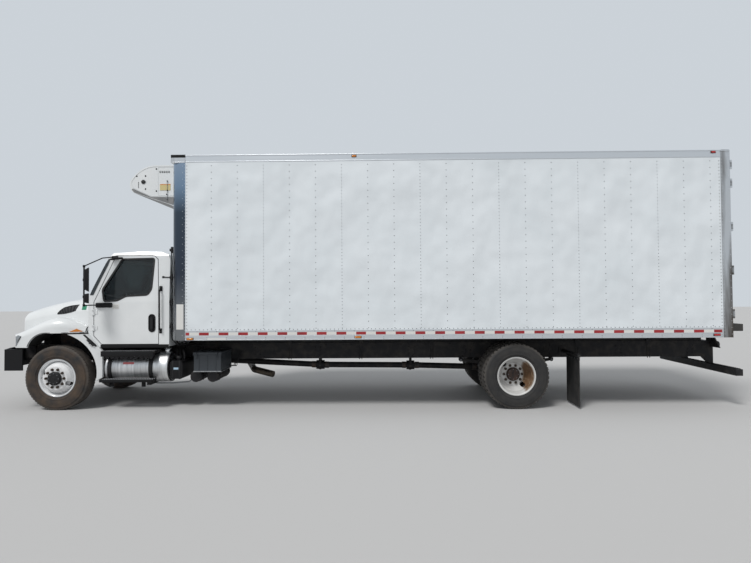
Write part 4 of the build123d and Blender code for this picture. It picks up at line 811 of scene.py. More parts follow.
for side, hand in both_sides:
    door_body = "cab_door_" + hand

    def flank(u, v, level):
        """A place on the cab's side, level metres off it."""
        return (at(u), side * (cab_face(v) + level), v)

    settle(drawn(ring, softened(window_outline, 0.035), 0.016, -0.012, -0.012, 0.0045, flank),
        "window_gasket_" + hand, gasket, 60, door_body)
    settle(drawn(ring, softened(door_outline, 0.02), 0.0135, 0.006, -0.04, -0.012, flank),
        "door_seal_" + hand, gasket, 60)
    bowl = bmesh.new()
    ring(bowl, capsule(1.436, 1.215, 1.505, 0.056), 0.0, -0.012, -0.004, 0.009, flank)
    sheet_over(bowl, capsule(1.436, 1.222, 1.498, 0.049), -0.002, 0.002, flank)
    settle(bowl, "handle_bowl_" + hand, moulded_black, 40, door_body)
    lever = bmesh.new()
    sheet_over(lever, capsule(1.436, 1.262, 1.452, 0.022), 0.012, 0.026, flank)
    block(lever, (1.424, 1.448), (side * 1.03, side * 1.045), (1.415, 1.445), 0.003)
    turned(lever, ((0.014, 1.03), (0.014, 1.036), (0.0, 1.036), (0.0, 1.03)), (at(1.436), 1.243), 20, side)
    settle(lever, "handle_lever_" + hand, hub_black, 40, door_body)
    rail = bmesh.new()
    reach = cab_half + 0.052
    tube(rail, [(1.578, side * (cab_half - 0.002), 1.235), (1.578, side * reach, 1.262),
        (1.576, side * (reach + 0.004), 1.32), (1.572, side * (reach + 0.004), 1.82),
        (1.572, side * reach, 1.878), (1.572, side * (cab_half - 0.012), 1.912)], 0.013, 12)
    for height in (1.235, 1.912):
        block(rail, (1.552, 1.598), (side * (cab_half - 0.016), side * (cab_half + 0.006)),
            (height - 0.04, height + 0.04), 0.005)
    settle(rail, "grab_rail_" + hand, moulded_black, 50)
    settle(blocks(((0.612, 1.708), (side * (cab_half - 0.004), side * (cab_half + 0.006)),
        (0.968, 1.021), 0.003), ((0.62, 1.7), (side * (cab_half - 0.1), side * (cab_half + 0.004)),
        (0.968, 0.984), 0.003)), "cab_sill_" + hand, moulded_black, 40)
    pad = bmesh.new()
    inner = side * 0.9685
    block(pad, (0.56, 1.515), (inner, side * 0.957), (1.06, 1.69), 0.005)
    block(pad, (0.66, 1.47), (side * 0.958, side * 0.915), (1.46, 1.53), 0.014)
    block(pad, (0.74, 1.4), (side * 0.958, side * 0.922), (1.09, 1.28), 0.012)
    settle(pad, "door_trim_" + hand, trim_grey, 50, door_body)
    crank = bmesh.new()
    tube(crank, [(1.06, side * 0.956, 1.4), (1.06, side * 0.938, 1.4)], 0.014, 16)
    tube(crank, [(1.06, side * 0.94, 1.4), (1.13, side * 0.936, 1.37), (1.132, side * 0.915, 1.369)], 0.007,
        10)
    settle(crank, "door_pull_" + hand, hub_black, 50, door_body)

    # Mirrors: two thin heads on one upright, carried by an arm from the door and a stay from the roof
    mirror_back = 0.545
    mirror_half = 1.345
    heads_form = bmesh.new()
    glass_form = bmesh.new()
    for low, high in ((1.861, 2.243), (1.682, 1.845)):
        middle = (at(mirror_back), side * mirror_half, (low + high) / 2)
        setting = Matrix.Translation(middle) @ Matrix.Rotation(math.radians(27 * side), 4, "Z")
        shell = bmesh.ops.create_cube(heads_form, size=1)["verts"]
        for corner in shell:
            spread = 1.0 if corner.co.x < 0 else 0.78
            corner.co = setting @ Vector((corner.co.x * 0.07, corner.co.y * 0.21 * spread,
                corner.co.z * (high - low) * spread))
        bmesh.ops.bevel(heads_form, geom=edges_of(shell), offset=0.014, segments=3, profile=0.5,
            affect="EDGES")
        pane = bmesh.ops.create_cube(glass_form, size=1)["verts"]
        for corner in pane:
            corner.co = setting @ Vector((-0.0352 + corner.co.x * 0.002, corner.co.y * 0.184,
                corner.co.z * (high - low - 0.026)))
        edges = [edge for edge in edges_of(pane) if abs(edge.verts[0].co.z - edge.verts[1].co.z) < 0.001
            and (edge.verts[0].co - edge.verts[1].co).length < 0.01]
        bmesh.ops.bevel(glass_form, geom=edges, offset=0.02, segments=4, profile=0.5, affect="EDGES")
    tube_back = mirror_back - 0.04
    stay = side * mirror_half
    tube(heads_form, [(tube_back, stay, 1.64), (tube_back, stay, 2.275)], 0.012, 14)
    tube(heads_form, [(tube_back, stay, 1.655), (0.64, side * (cab_half + 0.025), 1.655)], 0.009, 12)
    tube(heads_form, [(tube_back, stay, 2.262), (0.69, side * 1.14, 2.4),
        (0.815, side * (cab_half - 0.015), 2.424)], 0.009, 12)
    for height in (1.655, 1.79, 2.05, 2.262):
        tube(heads_form, [(tube_back, stay, height - 0.018), (tube_back, stay, height + 0.018)], 0.019, 14)
    block(heads_form, (0.775, 0.87), (side * (cab_half - 0.0455), side * (cab_half - 0.012)),
        (2.4, 2.442), 0.006)
    block(heads_form, (0.54, 0.8), (side * cab_half, side * (cab_half + 0.038)), (1.612, 1.69), 0.012)
    block(heads_form, (0.6, 0.7), (side * (cab_half + 0.03), side * (cab_half + 0.046)), (1.63, 1.676), 0.006)
    settle(heads_form, "mirror_arm_" + hand, moulded_black, 40, door_body, ("mirror_" + hand,))
    settle(glass_form, "mirror_glass_" + hand, stainless, 40, door_body)

screen_slope = 0.289 / 0.598


def screen(u, v, level):
    """A place on the windscreen plane, level metres ahead of it."""
    return (at(0.425 + (v - 1.815) * screen_slope) + level * 0.9, u, v + level * 0.44)


def back_wall(u, v, level):
    """A place on the rear wall of the cab."""
    return (at(1.712 + level), u, v)


def roof_edge(u, v, level):
    """A place on the slope at the front edge of the roof."""
    return (at(0.714 + (v - 2.413) * 0.99) + level * 0.72, u, v + level * 0.7)


glazing = bmesh.new()
ring(glazing, softened([(-0.85, 1.85), (0.85, 1.85), (0.85, 2.375), (-0.85, 2.375)], 0.06), 0.03, -0.016,
    -0.006, 0.005, screen)
ring(glazing, softened([(-0.6, 1.85), (0.6, 1.85), (0.6, 2.25), (-0.6, 2.25)], 0.05), 0.022, -0.014, -0.006,
    0.005, back_wall)
settle(glazing, "screen_gaskets", gasket, 60)
wipers = bmesh.new()
for foot, tip in ((0.55, 0.02), (-0.15, -0.68)):
    arm = [screen(foot, 1.835, 0.022), screen((foot + tip) / 2, 1.95, 0.03), screen(tip, 2.03, 0.02)]
    tube(wipers, [(datum - x, y, z) for x, y, z in arm], 0.005, 8)
    blade = [screen(tip - 0.2, 1.915, 0.01), screen(tip, 2.03, 0.014), screen(tip + 0.2, 2.145, 0.01)]
    tube(wipers, [(datum - x, y, z) for x, y, z in blade], 0.006, 8)
    hub_place = screen(foot, 1.835, 0.008)
    tube(wipers, [(datum - hub_place[0] + 0.01, foot, 1.835), (datum - hub_place[0] - 0.02, foot, 1.835)],
        0.016, 14)
settle(wipers, "wipers", hub_black, 50)
settle(blocks(((0.402, 0.432), (-0.93, 0.93), (1.776, 1.8), 0.004)), "cowl", moulded_black, 40)
for number, place in enumerate((-0.62, -0.16, 0, 0.16, 0.62)):
    settle(drawn(sheet_over, softened([(place - 0.045, 2.43), (place + 0.045, 2.43), (place + 0.038, 2.462),
        (place - 0.038, 2.462)], 0.01), -0.004, 0.016, roof_edge), "roof_marker_%d" % number, amber_lens, 60)

# Cab interior. Cloth seats with crowned cushions and bolsters, a grained dashboard with its dials, a
# lined rear wall and roof, and a ribbed floor mat.


def cushion(name, centre, size, crown, finish, tilt=0.0):
    """A crowned cushion: its faces bulge in the middle and its edges are drawn in by a seam."""
    form = bmesh.new()
    bmesh.ops.create_cube(form, size=2)
    bmesh.ops.subdivide_edges(form, edges=form.edges[:], cuts=9, use_grid_fill=True)
    turn = Matrix.Rotation(tilt, 3, "Y")
    for vert in form.verts:
        near = vert.co.copy()
        bulge = Vector((1 - near[(axis + 1) % 3] ** 2) * (1 - near[(axis + 2) % 3] ** 2) for axis in range(3))
        pulled = Vector(value * (1 - 0.1 * (near[(axis + 1) % 3] ** 4 + near[(axis + 2) % 3] ** 4) / 2)
            for axis, value in enumerate(near))
        full = Vector(pulled[axis] * size[axis] / 2 + (near[axis] * crown * bulge[axis]
            if abs(near[axis]) > 0.99 else 0) for axis in range(3))
        vert.co = Vector(centre) + turn @ full
    piece = settle(form, name, finish, 80)
    return piece


for number, middle in enumerate((0.5, -0.5)):
    pads = (("seat_base_%d", (at(1.245), middle, 1.385), (0.5, 0.5, 0.135), 0.016, 0.0),
        ("seat_back_%d", (at(1.495), middle, 1.72), (0.13, 0.48, 0.58), 0.016, math.radians(-8)),
        ("seat_head_%d", (at(1.545), middle, 2.06), (0.09, 0.27, 0.17), 0.012, math.radians(-8)),
        ("seat_side_a_%d", (at(1.245), middle + 0.225, 1.415), (0.48, 0.075, 0.12), 0.01, 0.0),
        ("seat_side_b_%d", (at(1.245), middle - 0.225, 1.415), (0.48, 0.075, 0.12), 0.01, 0.0))
    for name, centre, size, crown, tilt in pads:
        cushion(name % number, centre, size, crown, seat_cloth, tilt)
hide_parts("seats")
pedestals = bmesh.new()
for middle in (0.5, -0.5):
    block(pedestals, (1.08, 1.45), (middle - 0.18, middle + 0.18), (1.03, 1.1), 0.01)
    block(pedestals, (1.12, 1.41), (middle - 0.14, middle + 0.14), (1.09, 1.3), 0.02)
    block(pedestals, (1.04, 1.46), (middle - 0.22, middle + 0.22), (1.285, 1.33), 0.012)
settle(pedestals, "seat_pedestals", trim_grey, 50)
settle(blocks(((1.63, 1.652), (-0.95, 0.95), (1.035, 1.845), 0.006),
    ((0.86, 1.6), (-0.9, 0.9), (2.405, 2.425), 0.008)), "cab_lining", liner_grey, 50)
settle(blocks(*[((0.7 + step * 0.044, 0.735 + step * 0.044), (-0.93, 0.93), (1.0295, 1.038), 0.002)
    for step in range(21)], ((0.68, 1.62), (-0.94, 0.94), (1.0295, 1.034), 0.001)), "floor_mat", trim_grey,
    40)
settle(blocks(((0.772, 0.79), (0.31, 0.69), (1.6, 1.7), 0.008),
    *[((0.765, 0.784), (middle - 0.09, middle + 0.09), (1.56, 1.62), 0.006)
    for middle in (0.05, -0.18, -0.41, -0.64)], ((0.748, 0.775), (-0.12, 0.16), (1.42, 1.54), 0.008)),
    "dash_fittings", hub_black, 40)
dials = [((0.792, 0.4 + step * 0.067, 1.65), (-1, 0, 0)) for step in range(4)]
heads("dash_dials", dials, 0.026, 0.004, screw_zinc)

# Nose. Trim is laid on the hood by casting rays onto its skin: the dark intake crescents, the amber
# fender markers, the rubber along the hood's rear edge and the latch seams of the fixed skirts.


def skin(node):
    """A CAD node's surface, ready to have rays cast on it."""
    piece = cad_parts[node]
    points = [piece.matrix_world @ vert.co for vert in piece.data.vertices]
    return BVHTree.FromPolygons(points, [tuple(face.vertices) for face in piece.data.polygons])


def from_side(side):
    """Rays that come in from one side, for places given as (back, height)."""
    return (lambda u, v: Vector((at(u), side * 1.7, v))), Vector((0, -side, 0))


from_ahead = ((lambda u, v: Vector((at(-1.6), u, v))), Vector((-1, 0, 0)))
from_above = ((lambda u, v: Vector((at(u), v, 4.6))), Vector((0, 0, -1)))


def between(first, second, across, lengthwise):
    """A grid of places between two edges given by as many points each."""
    def refined(edge):
        return [Vector(a).lerp(Vector(b), step / lengthwise) for a, b in zip(edge, edge[1:])
            for step in range(lengthwise)] + [Vector(edge[-1])]
    return [[a.lerp(b, step / across) for a, b in zip(refined(first), refined(second))]
        for step in range(across + 1)]


def drape(form, surface, grid, rays, low, high):
    """A patch that follows a surface, from low to high above it, over a grid of places."""
    start, heading = rays
    layers = [[], []]
    for row in grid:
        met = [surface.ray_cast(start(*place), heading)[:2] for place in row]
        met = [found if found[0] is not None else surface.find_nearest(start(*place) + heading * 0.6)[:2]
            for place, found in zip(row, met)]
        met = [(point, normal if normal.dot(heading) < 0 else -normal) for point, normal in met]
        for layer, level in zip(layers, (low, high)):
            layer.append([form.verts.new(point + normal * level) for point, normal in met])
    last_row, last = len(grid) - 1, len(grid[0]) - 1
    for layer in layers:
        for first, second in zip(layer, layer[1:]):
            for step in range(last):
                form.faces.new((first[step], first[step + 1], second[step + 1], second[step]))
    rim = [(0, step) for step in range(last)] + [(row, last) for row in range(last_row)]
    rim += [(last_row, step) for step in range(last, 0, -1)] + [(row, 0) for row in range(last_row, 0, -1)]
    for (row, step), (next_row, next_step) in zip(rim, rim[1:] + rim[:1]):
        form.faces.new((layers[0][row][step], layers[0][next_row][next_step], layers[1][next_row][next_step],
            layers[1][row][step]))


def bowl(form, centre, heading, rows, steps=28):
    """A round dish about a heading, with (radius, depth along the heading) rows."""
    turn = Vector(heading).to_track_quat("Z", "Y")
    rings = [[form.verts.new(Vector(centre) + turn @ Vector((radius * math.cos(2 * math.pi * step / steps),
        radius * math.sin(2 * math.pi * step / steps), depth))) for step in range(steps)]
        for radius, depth in rows]
    loft(form, rings)


hood_skin = skin("hood")
skirt_skin = skin("fender_skirts")
green_label = Finish("green label", (0.02, 0.22, 0.12), 0.4)
green_label.roughen(green_label.noise(60), 0.35, 0.5)
reflector = Finish("lamp reflector", (0.8, 0.82, 0.84), 0.08, metallic=1.0)
reflector.emboss(reflector.noise(70, (1, 1, 0.1), 1), 0.002, 0.5)
# columns: lower edge and upper edge of the intake crescent from its tip to its blunt end
crescent_rows = (((-0.222, 1.51), (-0.22, 1.513)), ((-0.15, 1.512), (-0.178, 1.56)),
    ((-0.06, 1.521), (-0.105, 1.608)), ((0.04, 1.541), (0.022, 1.637)), ((0.134, 1.567), (0.172, 1.652)))
crescent_low = [row[0] for row in crescent_rows]
crescent_high = [row[1] for row in crescent_rows]
for side, hand in both_sides:
    rays = from_side(side)
    settle(drawn(drape, hood_skin, between(crescent_low, crescent_high, 6, 4), rays, -0.003, 0.0022),
        "intake_" + hand, gasket, 60, "hood")
    fins = bmesh.new()
    for step in range(1, 8):
        share = step / 8 * 4
        part = min(int(share), 3)
        foot = Vector(crescent_low[part]).lerp(Vector(crescent_low[part + 1]), share - part)
        top = Vector(crescent_high[part]).lerp(Vector(crescent_high[part + 1]), share - part)
        drape(fins, hood_skin, between([foot, top], [foot + Vector((0.007, 0)), top + Vector((0.007, 0))], 1,
            5), rays, 0.001, 0.009)
    lip = [Vector((0.0, 0.007))] * len(crescent_high)
    drape(fins, hood_skin, between(crescent_high, [Vector(a) + b for a, b in zip(crescent_high, lip)], 1, 5),
        rays, 0.0, 0.006)
    drape(fins, hood_skin, between(crescent_low, [Vector(a) - b for a, b in zip(crescent_low, lip)], 1, 5),
        rays, 0.0, 0.006)
    settle(fins, "intake_fins_" + hand, moulded_black, 60, "hood")
    settle(drawn(drape, hood_skin, between([(0.165, 1.236), (0.26, 1.234), (0.345, 1.236)],
        [(0.185, 1.242), (0.265, 1.281), (0.335, 1.244)], 4, 6), rays, 0.0005, 0.012),
        "fender_marker_" + hand, amber_lens, 60, "hood")
    rubber = bmesh.new()
    drape(rubber, hood_skin, between([(0.381, 1.219), (0.381, 1.5), (0.381, 1.745)],
        [(0.3938, 1.219), (0.3938, 1.5), (0.3938, 1.745)], 1, 16), rays, 0.0, 0.0035)
    rims = [[(-0.1847 - (0.3125 + level) * math.cos(turn), 0.9035 + (0.3125 + level) * math.sin(turn))
        for turn in [math.radians(18 + 75 * step / 12) for step in range(13)]] + [(0.37, 1.215 + level)]
        for level in (0.003, 0.01)]
    drape(rubber, hood_skin, between(rims[0], rims[1], 1, 2), rays, 0.0, 0.0045)
    settle(rubber, "hood_rubber_" + hand, gasket, 60, "hood")
    sticker = bmesh.new()
    drape(sticker, hood_skin, between([(0.245, 1.575), (0.33, 1.575)], [(0.245, 1.648), (0.33, 1.648)], 4, 4),
        rays, 0.0002, 0.0012)
    if side > 0:
        settle(sticker, "hood_label", green_label, 60, "hood")
    else:
        sticker.free()
    seam = bmesh.new()
    drape(seam, skirt_skin, between([(0.372, 1.186), (0.555, 0.992)], [(0.404, 1.19), (0.59, 1.002)], 2, 12),
        rays, 0.0, 0.004)
    latch = between([(0.425, 1.105), (0.52, 1.)], [(0.452, 1.118), (0.545, 1.014)], 2, 6)
    drape(seam, skirt_skin, latch, rays, 0.003, 0.02)
    drape(seam, skirt_skin, between([(0.462, 1.046), (0.505, 1.09)], [(0.474, 1.036), (0.517, 1.08)], 2, 4),
        rays, 0.01, 0.03)
    settle(seam, "hood_latch_" + hand, gasket, 50)

    # Headlamps: two bright bowls and an amber turn lamp behind each clear lens
    lamps = bmesh.new()
    for place, height, radius in ((0.745, 1.098, 0.052), (0.885, 1.1, 0.05)):
        centre = (at(-0.705 + (place - 0.745) * 0.35), side * place, height)
        bowl(lamps, centre, (1, side * 0.15, 0), ((0.016, -0.002), (0.03, 0.006), (0.043, 0.02),
            (radius, 0.04), (radius + 0.004, 0.04), (0.046, 0.018), (0.02, -0.008)))
        bowl(lamps, centre, (1, side * 0.15, 0), ((0.01, 0.004), (0.011, 0.02), (0.008, 0.028),
            (0.002, 0.03)), 16)
    settle(lamps, "lamp_bowls_" + hand, reflector, 50, "hood")
    settle(blocks(((-0.655, -0.65), (side * 0.965, side * 1.07), (1.055, 1.145), 0.002)), "turn_lamp_" + hand,
        amber_lens, 50, "hood")
    settle(blocks(((-0.655, -0.642), (side * 0.655, side * 1.105), (1.036, 1.162), 0.004)),
        "lamp_bezel_" + hand, moulded_black, 50, "hood")

frame_rows = bmesh.new()
for first, second in (([(-0.43, 1.47), (0.43, 1.47)], [(-0.452, 1.492), (0.452, 1.492)]),
        ([(-0.43, 1.084), (0.43, 1.084)], [(-0.452, 1.064), (0.452, 1.064)]),
        ([(0.43, 1.064), (0.43, 1.492)], [(0.452, 1.064), (0.452, 1.492)]),
        ([(-0.43, 1.064), (-0.43, 1.492)], [(-0.452, 1.064), (-0.452, 1.492)])):
    inset = [(u * 0.9985 + (0.0008 if u < 0 else -0.0008), v) for u, v in first]
    drape(frame_rows, hood_skin, between([(u * 1.004, v + (0.003 if v > 1.3 else -0.003)) for u, v in inset],
        second, 2, 14), from_ahead, 0.0, 0.01)
settle(frame_rows, "grille_surround", stainless, 50, "hood")
screen_bars = bmesh.new()
for step in range(41):
    place = -0.41 + step * 0.0205
    block(screen_bars, (-0.835, -0.831), (place - 0.0015, place + 0.0015), (1.09, 1.465))
for step in range(19):
    block(screen_bars, (-0.838, -0.834), (-0.425, 0.425), (1.095 + step * 0.0203, 1.098 + step * 0.0203))
for place in (-0.426, 0.42):
    block(screen_bars, (-0.845, -0.825), (place, place + 0.006), (1.086, 1.468))
settle(screen_bars, "bug_screen", hub_black, 40, "hood")
nozzles = bmesh.new()
for place in (-0.38, 0.38):
    drape(nozzles, hood_skin, between([(0.2, place - 0.014), (0.235, place - 0.011)],
        [(0.2, place + 0.014), (0.235, place + 0.011)], 3, 4), from_above, 0.0, 0.012)
settle(nozzles, "washer_nozzles", moulded_black, 50, "hood")

# Bumper. A moulded cover in three parts with dark seams, fog lamps in the ends, tow pins and a blank
# number plate on its bracket.
bumper_skin = skin("front_bumper")
trims = bmesh.new()
for place in (-0.7, 0.7):
    drape(trims, bumper_skin, between([(place - 0.003, 0.64), (place - 0.003, 0.958)],
        [(place + 0.003, 0.64), (place + 0.003, 0.958)], 1, 8), from_ahead, 0.0, 0.0012)
drape(trims, bumper_skin, between([(-0.99, 0.87), (0.99, 0.87)], [(-0.99, 0.876), (0.99, 0.876)], 1, 40),
    from_ahead, 0.0, 0.006)
drape(trims, bumper_skin, between([(-0.99, 0.948), (0.99, 0.948)], [(-0.99, 0.958), (0.99, 0.958)], 1, 40),
    from_ahead, 0.0, 0.007)
settle(trims, "bumper_ribs", gasket, 50)
pockets = bmesh.new()
fogs = bmesh.new()
for side in (1, -1):
    drape(pockets, bumper_skin, between([(side * 0.8, 0.7), (side * 0.965, 0.7)],
        [(side * 0.8, 0.83), (side * 0.965, 0.83)], 2, 6), from_ahead, 0.0, 0.01)
    centre = bumper_skin.ray_cast(Vector((at(-1.6), side * 0.882, 0.765)), Vector((-1, 0, 0)))[0]
    bowl(fogs, centre + Vector((0.008, 0, 0)), (1, 0, 0), ((0.044, 0.0), (0.046, 0.008), (0.038, 0.012),
        (0.018, 0.015), (0.002, 0.016)), 24)
    for height in (0.7, 0.925):
        spot = bumper_skin.ray_cast(Vector((at(-1.6), side * 0.4, height)), Vector((-1, 0, 0)))[0]
        bowl(pockets, spot, (1, 0, 0), ((0.016, -0.002), (0.016, 0.006), (0.01, 0.009), (0.001, 0.009)), 12)
settle(pockets, "bumper_pockets", gasket, 50)
settle(fogs, "fog_lamps", reflector, 50)
plate_form = bmesh.new()
front_face = bumper_skin.ray_cast(Vector((at(-1.6), 0.0, 0.9)), Vector((-1, 0, 0)))[0].x
block(plate_form, (datum - front_face - 0.012, datum - front_face - 0.008), (-0.1525, 0.1525),
    (0.8, 0.95), 0.001)
settle(plate_form, "blank_plate", tape_white, 40)
settle(blocks(((datum - front_face - 0.008, datum - front_face + 0.004), (-0.165, 0.165),
    (0.792, 0.958), 0.003)), "plate_holder", hub_black, 40)

# Glass and lamps of the face. The windscreen bows forward of its frame behind a black printed border,
# the headlamp's clear side wraps round the fender, and the mirror's arm ends in a moulded foot.
screen_glass = Finish("windscreen glass", (0.16, 0.2, 0.21), 0.03)
screen_glass.shader.inputs["Transmission Weight"].default_value = 0.9
screen_glass.roughen(screen_glass.noise(5, detail=5), 0.02, 0.07)
bowed = bmesh.new()
border = bmesh.new()
columns, courses = 18, 8
screen_rows = [[(0.93 * (2 * column / columns - 1), 1.815 + 0.598 * course / courses)
    for column in range(columns + 1)] for course in range(courses + 1)]
grid = []
for row in screen_rows:
    grid.append([])
    for u, v in row:
        bulge = 0.014 + 0.062 * (1 - (u / 0.93) ** 2) * (1 - 0.25 * ((v - 2.114) / 0.299) ** 2)
        grid[-1].append(screen(u * (1 - 0.06 * (v - 1.815) / 0.598), v, bulge))
for first, second in zip(grid, grid[1:]):
    for column in range(columns):
        corners = (first[column], first[column + 1], second[column + 1], second[column])
        edge = column in (0, columns - 1) or first is grid[0] or second is grid[-1]
        form = border if edge else bowed
        form.faces.new([form.verts.new(corner) for corner in corners])
for form, name, finish in ((bowed, "windscreen", screen_glass), (border, "windscreen_border", gasket)):
    bmesh.ops.remove_doubles(form, verts=form.verts, dist=0.0005)
    bmesh.ops.solidify(form, geom=form.faces[:], thickness=0.004)
    settle(form, name, finish, 60)
edge_seal = bmesh.new()
for column in (0, columns):
    rail_points = [row[column] for row in grid]
    tube(edge_seal, [(datum - point[0] + 0.006, point[1], point[2]) for point in rail_points], 0.014, 10)
for row in (grid[0], grid[-1]):
    tube(edge_seal, [(datum - point[0] + 0.008, point[1], point[2]) for point in row], 0.013, 10)
settle(edge_seal, "windscreen_seal", gasket, 60)

for side, hand in both_sides:
    wrap = bmesh.new()
    lamp_side = between([(-0.742, 1.022), (-0.735, 1.09), (-0.69, 1.15), (-0.645, 1.184)],
        [(-0.668, 1.024), (-0.64, 1.08), (-0.612, 1.13), (-0.59, 1.172)], 8, 16)
    drape(wrap, hood_skin, lamp_side, from_side(side), -0.001, 0.006)
    settle(wrap, "headlamp_side_" + hand, lamp_lens, 60, "hood")
    rim = bmesh.new()
    trail = between([(-0.668, 1.022), (-0.64, 1.078), (-0.612, 1.128), (-0.59, 1.17)],
        [(-0.66, 1.018), (-0.632, 1.075), (-0.604, 1.126), (-0.582, 1.168)], 1, 16)
    drape(rim, hood_skin, trail, from_side(side), 0.0, 0.0075)
    for step in range(5):
        low = 1.04 + step * 0.027
        front_edge = -0.735 + step * 0.02
        rib = between([(front_edge, low), (front_edge + 0.075, low)],
            [(front_edge, low + 0.004), (front_edge + 0.075, low + 0.004)], 6, 1)
        drape(rim, hood_skin, rib, from_side(side), 0.005, 0.0075)
    settle(rim, "headlamp_rim_" + hand, hub_black, 60, "hood")
    settle(blocks(((0.8, 0.96), (side * 1.005, side * 1.052), (2.385, 2.418), 0.01),
        ((0.77, 0.83), (side * 1.01, side * 1.06), (2.372, 2.4), 0.008)), "mirror_foot_" + hand,
        moulded_black, 50)
settle(blocks(((0.8, 0.905), (1.0295, 1.0328), (1.59, 1.665), 0.0005)), "door_label", tape_white, 50,
    "cab_door_left")
settle(blocks(*[((0.815, 0.89), (1.0325, 1.0334), (1.603 + step * 0.015, 1.606 + step * 0.015))
    for step in range(4)]), "door_label_rules", trim_grey, 50, "cab_door_left")
edge_glass = Finish("screen edge glass", (0.01, 0.016, 0.02), 0.08, coat=0.6)
edge_glass.roughen(edge_glass.noise(6), 0.06, 0.14)
cab_skin = skin("cab_shell")
for side, hand in both_sides:
    wrap = bmesh.new()
    pillar = between([(0.432, 1.815), (0.478, 1.93), (0.533, 2.06), (0.59, 2.18), (0.652, 2.29),
        (0.716, 2.395)], [(0.486, 1.815), (0.538, 1.93), (0.595, 2.06), (0.652, 2.18), (0.706, 2.29),
        (0.745, 2.395)], 5, 20)
    drape(wrap, cab_skin, pillar, from_side(side), -0.002, 0.007)
    settle(wrap, "screen_edge_" + hand, edge_glass, 60)

# Refrigeration unit. A white moulded shell over a grey belly pan: side doors with a dark latch and
# screws, louvres, blank labels, a drain rod, a grated front opening and the condenser fans behind it.
unit_half = 0.95
belly_grey = Finish("grey belly pan", (0.2, 0.205, 0.21), 0.5)
belly_grey.blend(belly_grey.noise(5), 0.3, 0.7, (0.16, 0.165, 0.17), (0.25, 0.25, 0.25))
pale_label = Finish("pale yellow label", (0.62, 0.52, 0.25), 0.5)
pale_label.roughen(pale_label.noise(40), 0.4, 0.6)
unit_outline = [(1.815, 3.402), (1.39, 3.41), (1.072, 3.56), (1.048, 3.64), (1.108, 3.728), (1.165, 3.79),
    (1.25, 3.848), (1.34, 3.886), (1.45, 3.903), (1.815, 3.903)]
belly_outline = [(1.812, 3.245), (1.812, 3.392), (1.386, 3.4), (1.085, 3.54), (1.068, 3.52), (1.106, 3.476)]
for side, hand in both_sides:
    face = side * unit_half

    def unit_side(u, v, level):
        """A place on the side of the unit, level metres off it."""
        return (at(u), face + side * level, v)

    shell = bmesh.new()
    ring(shell, softened(unit_outline, 0.03), 0.0, -0.01, 0.0, 0.0045, unit_side)
    ring(shell, softened([(1.492, 3.425), (1.492, 3.89), (1.8, 3.89), (1.8, 3.425)], 0.03), 0.0, -0.006, 0.0,
        0.004, unit_side)
    settle(shell, "unit_shell_" + hand, cab_white, 50)
    settle(drawn(sheet_over, belly_outline, 0.0, 0.003, unit_side), "unit_belly_" + hand, belly_grey, 50)
    dark = bmesh.new()
    sheet_over(dark, capsule(1.258, 3.611, 3.679, 0.034), 0.0, 0.008, unit_side)
    block(dark, (1.228, 1.3), (face, face + side * 0.013), (3.638, 3.652), 0.003)
    block(dark, (1.176, 1.182), (face, face + side * 0.004), (3.545, 3.645))
    for step in range(5):
        block(dark, (1.52 + step * 0.036, 1.546 + step * 0.036), (face, face + side * 0.004), (3.792, 3.801))
        block(dark, (1.52 + step * 0.036, 1.546 + step * 0.036), (face, face + side * 0.004), (3.812, 3.819))
    for height in (3.655, 3.5, 3.355):
        block(dark, (1.643, 1.659), (face, face + side * 0.018), (height - 0.006, height + 0.006), 0.001)
    settle(dark, "unit_fittings_" + hand, gasket, 50)
    settle(drawn(tube, [(1.651, face + side * 0.014, 3.665), (1.651, face + side * 0.014, 3.345)], 0.004, 10),
        "unit_rod_" + hand, galvanised, 50)
    spots = [((back, face, height), (0, side, 0)) for back, height in ((1.292, 3.742), (1.292, 3.53),
        (1.47, 3.855), (1.47, 3.496), (1.785, 3.87), (1.785, 3.44), (1.15, 3.74), (1.64, 3.44))]
    heads("unit_screws_" + hand, spots, 0.014, 0.007, hub_black)
    settle(blocks(((1.53, 1.7), (face, face + side * 0.0052), (3.505, 3.6))), "unit_label_" + hand,
        pale_label, 50)
    settle(blocks(((1.53, 1.7), (face, face + side * 0.0056), (3.594, 3.606))), "unit_label_band_" + hand,
        amber_lens, 50)
belly = bmesh.new()
slope_foot = Vector((1.13, 3.474))
slope = Vector((1.8, 3.252)) - slope_foot
low = slope_foot + slope * 0.06
high = slope_foot + slope * 0.94
for step in range(9):
    place = -0.84 + step * 0.21
    plate(belly, [tuple(low), tuple(high), (high[0], high[1] - 0.012), (low[0], low[1] - 0.012)],
        (place - 0.012, place + 0.012))
plate(belly, [(1.112, 3.474), (1.812, 3.242), (1.812, 3.236), (1.112, 3.466)], (-0.945, 0.945))
settle(belly, "unit_belly_ribs", belly_grey, 40)
unit_skin = skin("reefer_unit")
settle(drawn(drape, unit_skin, between([(-0.78, 3.54), (0.78, 3.54)], [(-0.78, 3.7), (0.78, 3.7)], 8, 24),
    from_ahead, 0.0, 0.004), "unit_mouth", gasket, 60)
slats = bmesh.new()
for step in range(8):
    height = 3.545 + step * 0.0214
    drape(slats, unit_skin, between([(-0.79, height), (0.79, height)],
        [(-0.79, height + 0.007), (0.79, height + 0.007)], 1, 24), from_ahead, 0.003, 0.012)
for step in range(9):
    place = -0.78 + step * 0.195
    drape(slats, unit_skin, between([(place - 0.004, 3.54), (place - 0.004, 3.7)],
        [(place + 0.004, 3.54), (place + 0.004, 3.7)], 1, 8), from_ahead, 0.003, 0.014)
settle(slats, "unit_slats", belly_grey, 60)
domes = bmesh.new()
